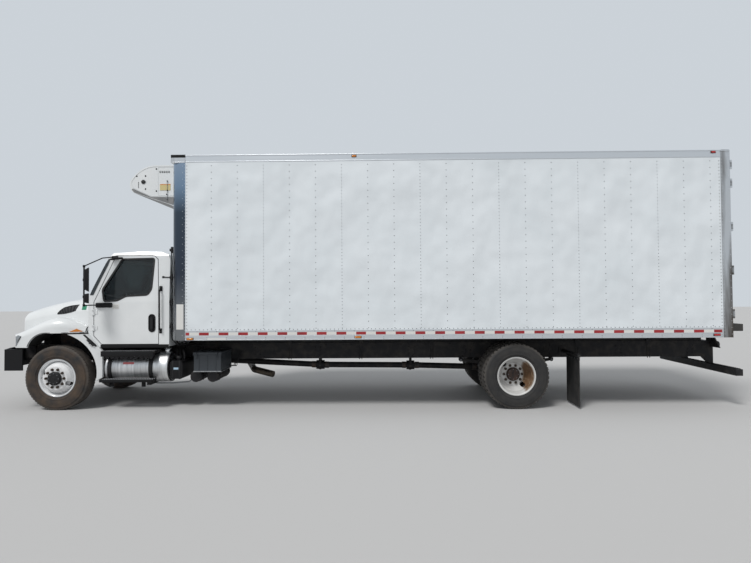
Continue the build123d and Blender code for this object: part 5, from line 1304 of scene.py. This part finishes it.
for place in (-0.42, 0.42):
    centre = unit_skin.ray_cast(Vector((at(1.62), place, 4.6)), Vector((0, 0, -1)))[0]
    bowl(domes, centre, (0, 0, 1), ((0.175, -0.004), (0.175, 0.012), (0.16, 0.016), (0.155, 0.004),
        (0.02, 0.004)), 40)
    for radius in (0.04, 0.07, 0.1, 0.13):
        bowl(domes, centre + Vector((0, 0, 0.012)), (0, 0, 1),
            ((radius, 0), (radius, 0.004), (radius - 0.003, 0.004), (radius - 0.003, 0)), 40)
    for step in range(8):
        turn = math.pi * step / 8
        reach = Vector((math.cos(turn), math.sin(turn), 0)) * 0.158
        first, second = centre + reach, centre - reach
        tube(domes, [(datum - first.x, first.y, first.z + 0.014),
            (datum - second.x, second.y, second.z + 0.014)], 0.002, 6)
settle(domes, "unit_fan_guards", hub_black, 40)

# Behind the cab. Air and lamp cables hang in loops between cab and body, clipped to the post, and a
# stay rod reaches back from the cab's corner.
cables = bmesh.new()
for number, (start_back, loop) in enumerate(((1.735, 0.05), (1.755, 0.065), (1.77, 0.04))):
    side_place = 1. - number * 0.022
    tube(cables, [(1.716, side_place, 2.53), (start_back, side_place, 2.5),
        (start_back + 0.01, side_place, 2.3), (start_back - 0.008, side_place, 2.08),
        (start_back + 0.012, side_place, 1.88), (start_back - 0.004, side_place, 1.66),
        (start_back + 0.01, side_place, 1.42), (start_back, side_place, 1.24),
        (start_back + loop * 0.3, side_place, 1.1), (start_back + 0.07, side_place - 0.1, 0.99),
        (start_back + 0.3, 0.5, 0.97)], 0.009, 10)
for height in (2.53, 2.09, 1.7, 1.3):
    block(cables, (1.708, 1.792), (0.935, 1.018), (height - 0.022, height + 0.022), 0.008)
    tube(cables, [(1.75, 1.005, height - 0.05), (1.75, 1.005, height + 0.05)], 0.021, 12)
tube(cables, [(1.598, 1.008, 2.095), (1.7, 1.006, 2.09), (1.8, 0.985, 2.085)], 0.009, 10)
block(cables, (1.59, 1.625), (0.996, 1.01), (2.078, 2.112), 0.003)
settle(cables, "cab_cables", hub_black, 50)

# Tanks and steps. The aluminium fuel tank has welded ends, rubber-lined straps with tightening bolts,
# a vented cap and a blank label; the treads have grip holes and a toothed lip.
brushed_tank = Finish("brushed tank aluminium", (0.74, 0.745, 0.75), 0.3, metallic=1.0)
streaks = brushed_tank.noise(30, (1, 0.05, 0.05), 4)
brushed_tank.blend(streaks, 0.35, 0.65, (0.5, 0.51, 0.52), (0.8, 0.805, 0.81))
brushed_tank.roughen(streaks, 0.32, 0.55)
brushed_tank.emboss(streaks, 0.0006, 0.4)
dress(brushed_tank, "fuel_tank")
burnt_steel = Finish("heat-stained steel", (0.12, 0.11, 0.1), 0.42, metallic=0.9)
burnt_steel.blend(burnt_steel.noise(6, detail=6), 0.35, 0.7, (0.07, 0.065, 0.062), (0.2, 0.165, 0.13))
burnt_steel.roughen(burnt_steel.noise(14), 0.3, 0.6)
dress(burnt_steel, "exhaust")
red_label = Finish("faded red label", (0.62, 0.16, 0.17), 0.5)
red_label.roughen(red_label.noise(60), 0.4, 0.6)
blue_label = Finish("pale blue label", (0.4, 0.55, 0.68), 0.5)
blue_label.roughen(blue_label.noise(60), 0.4, 0.6)
box_grey = Finish("box grey", (0.035, 0.042, 0.05), 0.42)
box_grey.roughen(box_grey.noise(8), 0.34, 0.6)
box_grey.emboss(box_grey.noise(250, detail=1), 0.0004, 0.4)
tank_middle = 0.81
tank_height = 0.64
tank_radius = 0.24


def around(form, back_0, back_1, middle, height, inner, outer, start=0.0, end=360.0, steps=48):
    """A band about a lengthwise axis, between two places back, two radii and two turns from the top."""
    whole = end - start >= 360
    rings = []
    for step in range(steps if whole else steps + 1):
        turn = math.radians(start + (end - start) * step / steps)
        rings.append([form.verts.new((at(back), middle + radius * math.sin(turn),
            height + radius * math.cos(turn))) for radius, back in ((inner, back_0), (outer, back_0),
            (outer, back_1), (inner, back_1))])
    loft(form, rings, whole)


for side, hand in both_sides:
    middle = side * tank_middle
    welds = bmesh.new()
    for back in (0.712, 1.656):
        around(welds, back - 0.005, back + 0.005, middle, tank_height, tank_radius - 0.002,
            tank_radius + 0.0035)
    settle(welds, "tank_welds_" + hand, brushed_tank, 40)
    straps = bmesh.new()
    for back in (0.76, 1.42):
        around(straps, back - 0.034, back + 0.034, middle, tank_height, tank_radius - 0.001,
            tank_radius + 0.0045)
        around(straps, back - 0.025, back + 0.025, middle, tank_height, tank_radius + 0.004,
            tank_radius + 0.0125)
        tube(straps, [(back, middle + side * 0.05, tank_height + 0.251),
            (back, middle - side * 0.12, tank_height + 0.232)], 0.007, 10)
        for reach in (0.045, 0.08):
            block(straps, (back - 0.02, back + 0.02),
                (middle + side * (reach - 0.008), middle + side * (reach + 0.008)),
                (tank_height + 0.232, tank_height + 0.262), 0.003)
    settle(straps, "tank_straps_" + hand, hub_black, 40)
    teeth = bmesh.new()
    for step in range(10):
        back = 0.725 + step * 0.0775
        plate(teeth, [(back, 0.842), (back + 0.0775, 0.842), (back + 0.05, 0.797), (back + 0.0275, 0.797)],
            (side * 1.126, side * 1.132))
    settle(teeth, "step_teeth_" + hand, moulded_black, 40)
    settle(blocks(((0.662, 1.503), (side * 1.124, side * 1.134), (0.838, 0.925), 0.003),
        ((0.662, 1.503), (side * 1.172, side * 1.184), (0.44, 0.484), 0.004),
        ((0.662, 1.503), (side * 1.006, side * 1.016), (0.44, 0.484), 0.004),
        *[((back - 0.028, back + 0.028), (side * 1.02, side * 1.06), (0.352, 0.448), 0.005)
        for back in (0.8, 1.31)],
        *[((back - 0.02, back + 0.02), (side * 0.85, side * 1.13), (0.874, 0.89), 0.003)
        for back in (0.69, 1.475)]), "step_edges_" + hand, moulded_black, 40)
    settle(blocks(*[((back - 0.024, back + 0.024), (side * 1.016, side * 1.066), (0.344, 0.352), 0.002)
        for back in (0.8, 1.31)], ((0.642, 0.7), (side * 1.02, side * 1.06), (0.424, 0.438), 0.003)),
        "step_feet_" + hand, galvanised, 40)
    grips = []
    for step in range(30):
        back = 0.69 + step * 0.0272
        for row in range(4):
            grips.append(((back + (row % 2) * 0.0136, side * (1.035 + row * 0.036), 0.48), (0, 0, 1)))
        for row in range(6):
            grips.append(((back + (row % 2) * 0.0136, side * (0.865 + row * 0.046), 0.922), (0, 0, 1)))
    heads("step_grips_" + hand, grips, 0.0075, 0.004, galvanised)

filler = bmesh.new()
cap_place = (at(1.61), tank_middle, tank_height + 0.262)
bowl(filler, cap_place, (0, 0.25, 1), ((0.047, -0.02), (0.047, 0.004), (0.056, 0.006), (0.056, 0.03),
    (0.05, 0.038), (0.02, 0.042), (0.002, 0.042)), 24)
block(filler, (1.602, 1.618), (tank_middle - 0.035, tank_middle + 0.055),
    (tank_height + 0.3, tank_height + 0.312), 0.004)
settle(filler, "filler_cap", reflector, 50)
settle(drawn(around, 1.663, 1.698, tank_middle, tank_height, 0.205, 0.2325), "tank_end_guard", hub_black, 40)
tank_skin = skin("fuel_tank")
settle(drawn(drape, tank_skin, between([(0.975, 0.706), (1.152, 0.706)], [(0.975, 0.738), (1.152, 0.738)], 4,
    8), from_side(1), 0.0003, 0.0012), "tank_label", red_label, 50)

# Fluid tank, battery box and air tanks, with their lids, straps, hoses and a coolant pipe
fluid = blocks(*[((back - 0.014, back + 0.014), (0.6, 1.0445), (0.466, 0.756), 0.004)
    for back in (1.775, 1.885)])
bowl(fluid, (at(1.83), 0.9, 0.785), (0, 0, 1), ((0.05, 0.0), (0.052, 0.026), (0.044, 0.034), (0.002, 0.036)),
    24)
for number, (back, place) in enumerate(((1.76, 0.8), (1.8, 0.76), (1.86, 0.78), (1.895, 0.84))):
    tube(fluid, [(back, place, 0.745), (back, place, 0.82), (back - 0.03, place - 0.04, 0.9),
        (back - 0.06, 0.6, 0.99 - number * 0.01), (back - 0.08, 0.44, 1.0)], 0.012, 10)
settle(fluid, "fluid_fittings", hub_black, 50)
settle(blocks(((1.765, 1.865), (1.0405, 1.0422), (0.618, 0.65), 0.0004)), "fluid_label", blue_label, 50)
dress(box_grey, "battery_box")
batteries = blocks(((2.106, 2.564), (0.45, 1.074), (0.846, 0.862), 0.004),
    ((2.104, 2.566), (0.46, 1.072), (0.884, 0.892), 0.004))
for back in (2.2, 2.335, 2.47):
    block(batteries, (back - 0.01, back + 0.01), (0.5, 1.066), (0.889, 0.898), 0.003)
    block(batteries, (back - 0.006, back + 0.006), (1.058, 1.066), (0.6, 0.85), 0.003)
for back in (2.17, 2.5):
    tube(batteries, [(back, 1.068, 0.8), (back, 1.082, 0.806), (back, 1.084, 0.872), (back, 1.068, 0.88)],
        0.006, 8)
settle(batteries, "battery_lid", box_grey, 50)
settle(blocks(((2.112, 2.558), (1.054, 1.068), (0.58, 0.596), 0.003),
    ((2.108, 2.562), (0.46, 1.06), (0.578, 0.59), 0.003)), "battery_tray", galvanised, 40)
air = bmesh.new()
for back in (2.13, 2.4):
    for place in (0.36, 0.86):
        turned(air, ((0.0895, place - 0.014), (0.095, place - 0.014), (0.095, place + 0.014),
            (0.0895, place + 0.014)), (at(back), 0.5), 32)
    for place in (0.292, 0.988):
        turned(air, ((0.0, place - 0.006), (0.05, place - 0.004), (0.078, place), (0.05, place + 0.004),
            (0.0, place + 0.006)), (at(back), 0.5), 32)
    tube(air, [(back, 0.62, 0.412), (back, 0.62, 0.392)], 0.009, 8)
    tube(air, [(back - 0.03, 0.55, 0.588), (back - 0.03, 0.55, 0.64), (back - 0.2, 0.5, 0.7),
        (back - 0.3, 0.46, 0.8)], 0.007, 8)
bmesh.ops.remove_doubles(air, verts=air.verts, dist=0.0001)
settle(air, "air_tank_straps", hub_black, 40)
settle(drawn(tube, [(1.42, 0.8, 0.372), (1.69, 0.8, 0.37), (1.95, 0.79, 0.388), (2.02, 0.78, 0.44),
    (2.04, 0.74, 0.56), (2.04, 0.6, 0.66)], 0.011, 12), "coolant_pipe", screw_zinc, 50)
hoses = bmesh.new()
for number in range(6):
    place = 0.3 - number * 0.035
    drop = 0.03 * math.sin(number * 2.1)
    tube(hoses, [(1.55, place, 0.98), (1.8, place, 0.93 + drop), (2.4, place - 0.01, 0.94 + drop),
        (3.1, place, 0.955 - drop), (4.3, place + 0.01, 0.94 + drop), (5.6, place, 0.95),
        (6.6, place, 0.93 - drop), (7.05, place + 0.02, 0.9)], 0.0075, 8)
for number in range(3):
    tube(hoses, [(1.98 + number * 0.05, 0.47, 0.93), (2. + number * 0.05, 0.56, 0.8),
        (2.03 + number * 0.04, 0.6, 0.66), (2.62 + number * 0.03, 0.58, 0.62), (2.7, 0.52, 0.74),
        (2.72 + number * 0.02, 0.47, 0.86)], 0.0085, 8)
settle(hoses, "air_lines", hub_black, 50)

# Running gear. U-bolts and spring clips, shock absorbers, brake chambers with slack adjusters, the
# axle cover with its bolts, drive shaft yokes, frame bolts and spring eye bolts.
gear = bmesh.new()
# columns: axle, foot and top of the U-bolts, how far they stand before and behind it
for axle_back, seat_low, seat_high, gap in ((-0.025, 0.362, 0.56, 0.054), (7.2, 0.428, 0.68, 0.112)):
    for side in (1, -1):
        middle = side * 0.43
        for back in (axle_back - gap, axle_back + gap):
            tube(gear, [(back, middle - 0.048, seat_low), (back, middle - 0.048, seat_high),
                (back, middle - 0.03, seat_high + 0.014), (back, middle + 0.03, seat_high + 0.014),
                (back, middle + 0.048, seat_high), (back, middle + 0.048, seat_low)], 0.009, 8)
            for shift in (-0.048, 0.048):
                tube(gear, [(back, middle + shift, seat_low - 0.002),
                    (back, middle + shift, seat_low - 0.022)], 0.016, 6)
        block(gear, (axle_back - gap - 0.006, axle_back + gap + 0.006), (middle - 0.062, middle + 0.062),
            (seat_low - 0.002, seat_low + 0.012), 0.003)
        block(gear, (axle_back - 0.05, axle_back + 0.05), (middle - 0.04, middle + 0.04),
            (seat_high - 0.04, seat_high + 0.004), 0.006)
        for shift in (-0.36, 0.36):
            block(gear, (axle_back + shift - 0.015, axle_back + shift + 0.015),
                (middle - 0.042, middle + 0.042), (seat_high - 0.085, seat_high - 0.01), 0.003)
for side in (1, -1):
    # Shock absorbers and their pins
    for start, end, radius, corners in (((-0.18, 0.52, 0.44), (-0.2, 0.52, 0.62), 0.03, 16),
            ((-0.2, 0.52, 0.6), (-0.22, 0.52, 0.86), 0.038, 16),
            ((-0.22, 0.4, 0.86), (-0.22, 0.54, 0.86), 0.016, 10),
            ((-0.18, 0.43, 0.435), (-0.18, 0.54, 0.435), 0.016, 10),
            ((7.36, 0.4, 0.46), (7.42, 0.42, 0.66), 0.03, 16),
            ((7.42, 0.42, 0.64), (7.48, 0.44, 0.88), 0.038, 16)):
        tube(gear, [(back, side * place, height) for back, place, height in (start, end)], radius, corners)
    for start, end, radius in ((0.0, 0.055, 0.078), (0.055, 0.075, 0.084), (0.075, 0.15, 0.076)):
        tube(gear, [(6.92 - start, side * 0.3, 0.585 + start * 0.27),
            (6.92 - end, side * 0.3, 0.585 + end * 0.27)], radius, 24)
    tube(gear, [(6.9, side * 0.3, 0.58), (7.06, side * 0.3, 0.545)], 0.009, 8)
    block(gear, (7.04, 7.075), (side * 0.285, side * 0.315), (0.44, 0.57), 0.006)
    tube(gear, [(7.055, side * 0.24, 0.46), (7.055, side * 0.6, 0.46)], 0.019, 12)
settle(gear, "axle_fittings", chassis_black, 40)
settle(drawn(bowl, (at(7.36), 0, 0.508), (-1, 0, 0),
    ((0.15, 0.0), (0.175, 0.004), (0.16, 0.03), (0.12, 0.056), (0.06, 0.068), (0.002, 0.07)), 36),
    "axle_cover", cast_iron, 50)
ring_bolts = [((7.366, 0.163 * math.cos(turn), 0.508 + 0.163 * math.sin(turn)), (-1, 0, 0))
    for turn in [2 * math.pi * step / 12 for step in range(12)]]
heads("axle_cover_bolts", ring_bolts, 0.011, 0.01, screw_zinc)
yokes = bmesh.new()
shaft_rows = ((1.475, 0.7), (4.02, 0.56), (5.61, 0.545), (6.85, 0.51))
for number, (back, height) in enumerate(shaft_rows):
    before = shaft_rows[max(number - 1, 0)]
    after = shaft_rows[min(number + 1, 3)]
    slant = (after[1] - before[1]) / (after[0] - before[0])
    for reach in (-0.1, 0.1):
        if 0 <= number + (1 if reach > 0 else -1) <= 3:
            tube(yokes, [(back + reach * 0.8, 0, height + slant * reach * 0.8),
                (back + reach * 1.5, 0, height + slant * reach * 1.5)], 0.058, 20)
    if number:
        tube(yokes, [(back - 0.005, -0.085, height), (back - 0.005, 0.085, height)], 0.02, 14)
        tube(yokes, [(back - 0.005, 0, height - 0.085), (back - 0.005, 0, height + 0.085)], 0.02, 14)
settle(yokes, "shaft_joints", cast_iron, 40)
frame_bolts = []
for side in (1, -1):
    web = side * 0.4302
    for back in (1.68, 3., 4.02, 5.61, 6.56, 7.9, 9.1, 10.3):
        frame_bolts += [((back + shift, web, height), (0, side, 0)) for shift in (-0.045, 0.045)
            for height in (0.78, 0.84, 0.9)]
    for step in range(36):
        frame_bolts.append(((2.9 + step * 0.21, web, 0.745 if step % 2 else 0.95), (0, side, 0)))
heads("frame_bolts", frame_bolts, 0.012, 0.009, chassis_black)
eye_bolts = [((back, side * (0.43 + 0.038), height), (0, side, 0)) for side in (1, -1)
    for back, height in ((-0.725, 0.665), (0.675, 0.665), (6.44, 0.68), (7.96, 0.68))]
heads("spring_eye_bolts", eye_bolts, 0.02, 0.014, screw_zinc)
sill_clips = bmesh.new()
for side in (1, -1):
    for back in (2.35, 3.55, 4.75, 5.95, 8.4, 9.6):
        block(sill_clips, (back - 0.035, back + 0.035), (side * 0.43, side * 0.4385), (0.88, 1.04), 0.002)
        for shift in (-0.02, 0.02):
            tube(sill_clips, [(back + shift, side * 0.434, 0.7), (back + shift, side * 0.434, 1.05)], 0.007,
                8)
settle(sill_clips, "body_clamps", chassis_black, 40)

# Rear end. The guard tube has a toothed grip top and end caps, the lamps have ribbed lenses in black
# rings, the dock bumpers are bolted rubber laminations, and the mud flaps hang from bolted clamps.
grip = bmesh.new()
guard_back_0, guard_back_1 = 10.582, 10.689
for step in range(47):
    place = -1.175 + step * 0.05
    for back in (guard_back_0 + 0.016, guard_back_0 + 0.044, guard_back_0 + 0.072, guard_back_0 + 0.094):
        plate(grip, [(back - 0.006, 0.5965), (back, 0.607), (back + 0.006, 0.5965)], (place, place + 0.034))
block(grip, (guard_back_0, guard_back_1), (-1.2025, -1.1985), (0.499, 0.596), 0.001)
block(grip, (guard_back_0, guard_back_1), (1.1985, 1.2025), (0.499, 0.596), 0.001)
settle(grip, "guard_grip", chassis_black, 30)
guard_tape = bmesh.new()
guard_red = bmesh.new()
for step in range(12):
    place = -1.14 + step * 0.19
    form = guard_tape if step % 2 else guard_red
    block(form, (guard_back_1, guard_back_1 + 0.0008), (place, place + 0.19), (0.525, 0.575))
settle(guard_tape, "guard_tape_white", tape_white, 40)
settle(guard_red, "guard_tape_red", tape_red, 40)
lamp_rings = bmesh.new()
lenses = bmesh.new()
lamp_face = 10.674
for side in (1, -1):
    for place in (0.49, 0.59):
        centre = (at(lamp_face), side * place, 0.932)
        bowl(lamp_rings, centre, (-1, 0, 0), ((0.0525, -0.022), (0.0525, -0.004), (0.048, 0.002),
            (0.0425, 0.002), (0.0425, -0.02)), 32)
        bowl(lenses, centre, (-1, 0, 0), ((0.042, -0.004), (0.042, 0.001), (0.036, 0.005), (0.03, 0.0035),
            (0.024, 0.007), (0.016, 0.0055), (0.01, 0.008), (0.001, 0.008)), 32)
settle(lamp_rings, "tail_lamp_rings", gasket, 40)
settle(lenses, "tail_lamp_lenses", red_lens, 40)
settle(blocks(((10.672, 10.675), (-0.1525, 0.1525), (0.8, 0.95), 0.001)), "rear_blank_plate", tape_white, 40)
settle(blocks(((10.61, 10.672), (-0.35, 0.35), (0.955, 0.975), 0.004),
    ((10.664, 10.672), (-0.165, 0.165), (0.79, 0.965), 0.003)), "rear_plate_holder", chassis_black, 40)
bumpers = bmesh.new()
for side in (1, -1):
    for step in range(11):
        place = side * (0.904 + step * 0.0345)
        block(bumpers, (10.4975, 10.658), (place, place + side * 0.03), (1.194, 1.303), 0.006)
settle(bumpers, "dock_laminations", flap_rubber, 40)
flap_bolts = [((8.166, side * (0.7 + step * 0.12), 0.77), (-1, 0, 0)) for side in (1, -1)
    for step in range(5)]
flap_bolts += [((8.154, side * (0.7 + step * 0.12), 0.77), (1, 0, 0)) for side in (1, -1)
    for step in range(5)]
heads("flap_bolts", flap_bolts, 0.013, 0.008, screw_zinc)
clamps = bmesh.new()
for side in (1, -1):
    block(clamps, (8.166, 8.172), (side * 0.65, side * 1.235), (0.75, 0.795), 0.002)
    block(clamps, (8.148, 8.154), (side * 0.65, side * 1.235), (0.75, 0.795), 0.002)
    tube(clamps, [(8.16, side * 0.44, 0.83), (8.16, side * 1.235, 0.83)], 0.026, 14)
    block(clamps, (8.09, 8.23), (side * 0.43, side * 0.446), (0.77, 0.9), 0.004)
settle(clamps, "flap_arms", chassis_black, 40)

# Load space. A ribbed aluminium floor with drain gutters, white lined walls over a scuff band, lamps
# along the roof, and the evaporator's bulkhead and return-air grille at the front.
lining_white = Finish("white wall liner", (0.7, 0.71, 0.71), 0.5)
lining_white.emboss(lining_white.noise(8, (0.2, 1, 0.2), 2), 0.002, 0.3)
scuff = Finish("scuffed band", (0.42, 0.43, 0.44), 0.5, metallic=0.7)
scuff.blend(scuff.noise(9, (0.1, 1, 1), 6), 0.35, 0.7, (0.3, 0.31, 0.32), (0.52, 0.53, 0.54))
ribs = bmesh.new()
for step in range(59):
    place = -1.189 + step * 0.041
    block(ribs, (1.915, 10.345), (place - 0.0145, place + 0.0145), (1.3195, 1.328))
    block(ribs, (1.915, 10.345), (place - 0.003, place + 0.003), (1.3195, 1.323))
settle(ribs, "floor_ribs", floor_metal, 30)
walls = bmesh.new()
bands = bmesh.new()
for side in (1, -1):
    inner = side * 1.23
    block(walls, (1.925, 10.345), (inner - side * 0.008, inner + side * 0.0005), (1.56, 3.9), 0.001)
    for step in range(20):
        back = 2.2 + step * 0.4064
        block(walls, (back - 0.02, back + 0.02), (inner - side * 0.011, inner - side * 0.007),
            (1.56, 3.9), 0.001)
    block(bands, (1.925, 10.345), (inner - side * 0.016, inner + side * 0.0005), (1.322, 1.56), 0.003)
    for step in range(4):
        height = 1.36 + step * 0.055
        block(bands, (1.925, 10.345), (inner - side * 0.019, inner - side * 0.015),
            (height, height + 0.02), 0.002)
block(walls, (1.912, 10.345), (-1.215, 1.215), (3.895, 3.9045), 0.001)
settle(walls, "wall_liner", lining_white, 30)
settle(bands, "scuff_bands", scuff, 30)
roof_lamps = bmesh.new()
lamp_glow = bmesh.new()
for back in (3.2, 5.2, 7.2, 9.2):
    block(roof_lamps, (back - 0.16, back + 0.16), (-0.075, 0.075), (3.884, 3.897), 0.004)
    block(lamp_glow, (back - 0.14, back + 0.14), (-0.055, 0.055), (3.876, 3.886), 0.004)
settle(roof_lamps, "roof_lamp_bases", scuff, 40)
settle(lamp_glow, "roof_lamp_lenses", tape_white, 40)
settle(blocks(((1.908, 1.96), (-1.03, 1.03), (1.3195, 3.1), 0.006),
    ((1.908, 2.09), (-0.8, 0.8), (3.12, 3.86), 0.03)), "bulkhead", lining_white, 40)
settle(blocks(*[((1.958, 1.968), (-0.6, 0.6), (1.45 + step * 0.045, 1.47 + step * 0.045), 0.002)
    for step in range(12)], *[((2.088, 2.096), (-0.62, 0.62), (3.3 + step * 0.04, 3.315 + step * 0.04), 0.002)
    for step in range(9)]), "air_grilles", hub_black, 40)
for side, hand in both_sides:
    settle(blocks(((10.413, 10.4225), (side * 0.03, side * 1.155), (1.36, 3.83), 0.002)),
        "door_liner_" + hand, lining_white, 40, "cargo_door_" + hand)
    settle(blocks(*[((10.409, 10.4225), sides, heights, 0.003)
        for sides, heights in (((side * 1.16, side * 1.172), (1.335, 3.85)),
        ((side * 0.008, side * 1.172), (1.335, 1.35)), ((side * 0.008, side * 1.172), (3.835, 3.85)),
        ((side * 0.008, side * 0.02), (1.335, 3.85)))]), "door_gasket_" + hand, gasket, 40,
        "cargo_door_" + hand)
    sleeves = bmesh.new()
    for height in hinge_heights:
        tube(sleeves, [(10.515, side * 1.29, height - 0.0395), (10.515, side * 1.29, height + 0.0395)],
            0.0138, 16)
        block(sleeves, (10.5048, 10.5058), (side * 1.06, side * 1.279), (height - 0.0405, height + 0.0405))
    settle(sleeves, "hinge_sleeves_" + hand, galvanised, 40, "cargo_door_" + hand)

# Front wall and roof. Rivets run down the front wall's posts, and the roof sheet laps every 1.2 m
# under soft ripples with a bead along each side.
# These rivets carry the same painted shade as those on the sides.
front_face = [((1.82, -0.98 + column * 0.392, 1.15 + step * 0.1016), (1, 0, 0)) for column in range(6)
    for step in range(20)]
heads("front_wall_rivets", front_face, 0.0066, 0.0028, rivet_painted_shade)
roof_laps = bmesh.new()
for step in range(1, 7):
    seam = seam_front + seam_pitch * step
    block(roof_laps, (seam - 0.02, seam + 0.02), (-1.22, 1.22), (3.984, 3.987), 0.001)
for side in (1, -1):
    block(roof_laps, (seam_front, 10.35), (side * 1.222, side * 1.232), (3.984, 3.989), 0.002)
settle(roof_laps, "roof_laps", rail_bright, 40)

# Engine bay. Valve cover, charge pipe, air filter, belts and fan, and the radiator's finned core.
bay = blocks(((-0.36, 0.3), (-0.17, 0.17), (1.478, 1.56), 0.03),
    *[((-0.3 + step * 0.09, -0.27 + step * 0.09), (-0.15, 0.15), (1.555, 1.568), 0.004) for step in range(7)])
tube(bay, [(-0.62, 0.25, 1.42), (-0.48, 0.42, 1.44), (-0.2, 0.44, 1.42), (0.05, 0.4, 1.38), (0.1, 0.3, 1.34)],
    0.045, 16)
tube(bay, [(-0.2, -0.48, 1.32), (0.25, -0.48, 1.32)], 0.13, 24)
tube(bay, [(0.24, -0.48, 1.32), (0.3, -0.44, 1.36), (0.3, -0.3, 1.4)], 0.05, 16)
settle(bay, "engine_top", cast_iron, 40)
front_drive = bmesh.new()
for place, height, radius in ((0.0, 1.12, 0.11), (0.0, 0.84, 0.13), (0.2, 1.02, 0.07), (-0.2, 1.2, 0.06)):
    bowl(front_drive, (at(-0.431), place, height), (1, 0, 0),
        ((radius, 0.0), (radius, 0.012), (radius - 0.008, 0.018), (radius, 0.024), (radius, 0.036),
        (0.03, 0.036), (0.002, 0.03)), 28)
for step in range(9):
    turn = 2 * math.pi * step / 9
    hub_point = Vector((at(-0.5), 0.05 * math.cos(turn), 1.12 + 0.05 * math.sin(turn)))
    tip = Vector((at(-0.52), 0.27 * math.cos(turn + 0.14), 1.12 + 0.27 * math.sin(turn + 0.14)))
    tube(front_drive, [(datum - hub_point.x, hub_point.y, hub_point.z), (datum - tip.x, tip.y, tip.z)], 0.026,
        6)
tube(front_drive, [(-0.43, 0, 1.12), (-0.535, 0, 1.12)], 0.06, 20)
settle(front_drive, "belts_and_fan", hub_black, 40)
core = bmesh.new()
for step in range(30):
    height = 0.86 + step * 0.0185
    block(core, (-0.7245, -0.7195), (-0.325, 0.325), (height, height + 0.006))
settle(core, "radiator_fins", screw_zinc, 40)
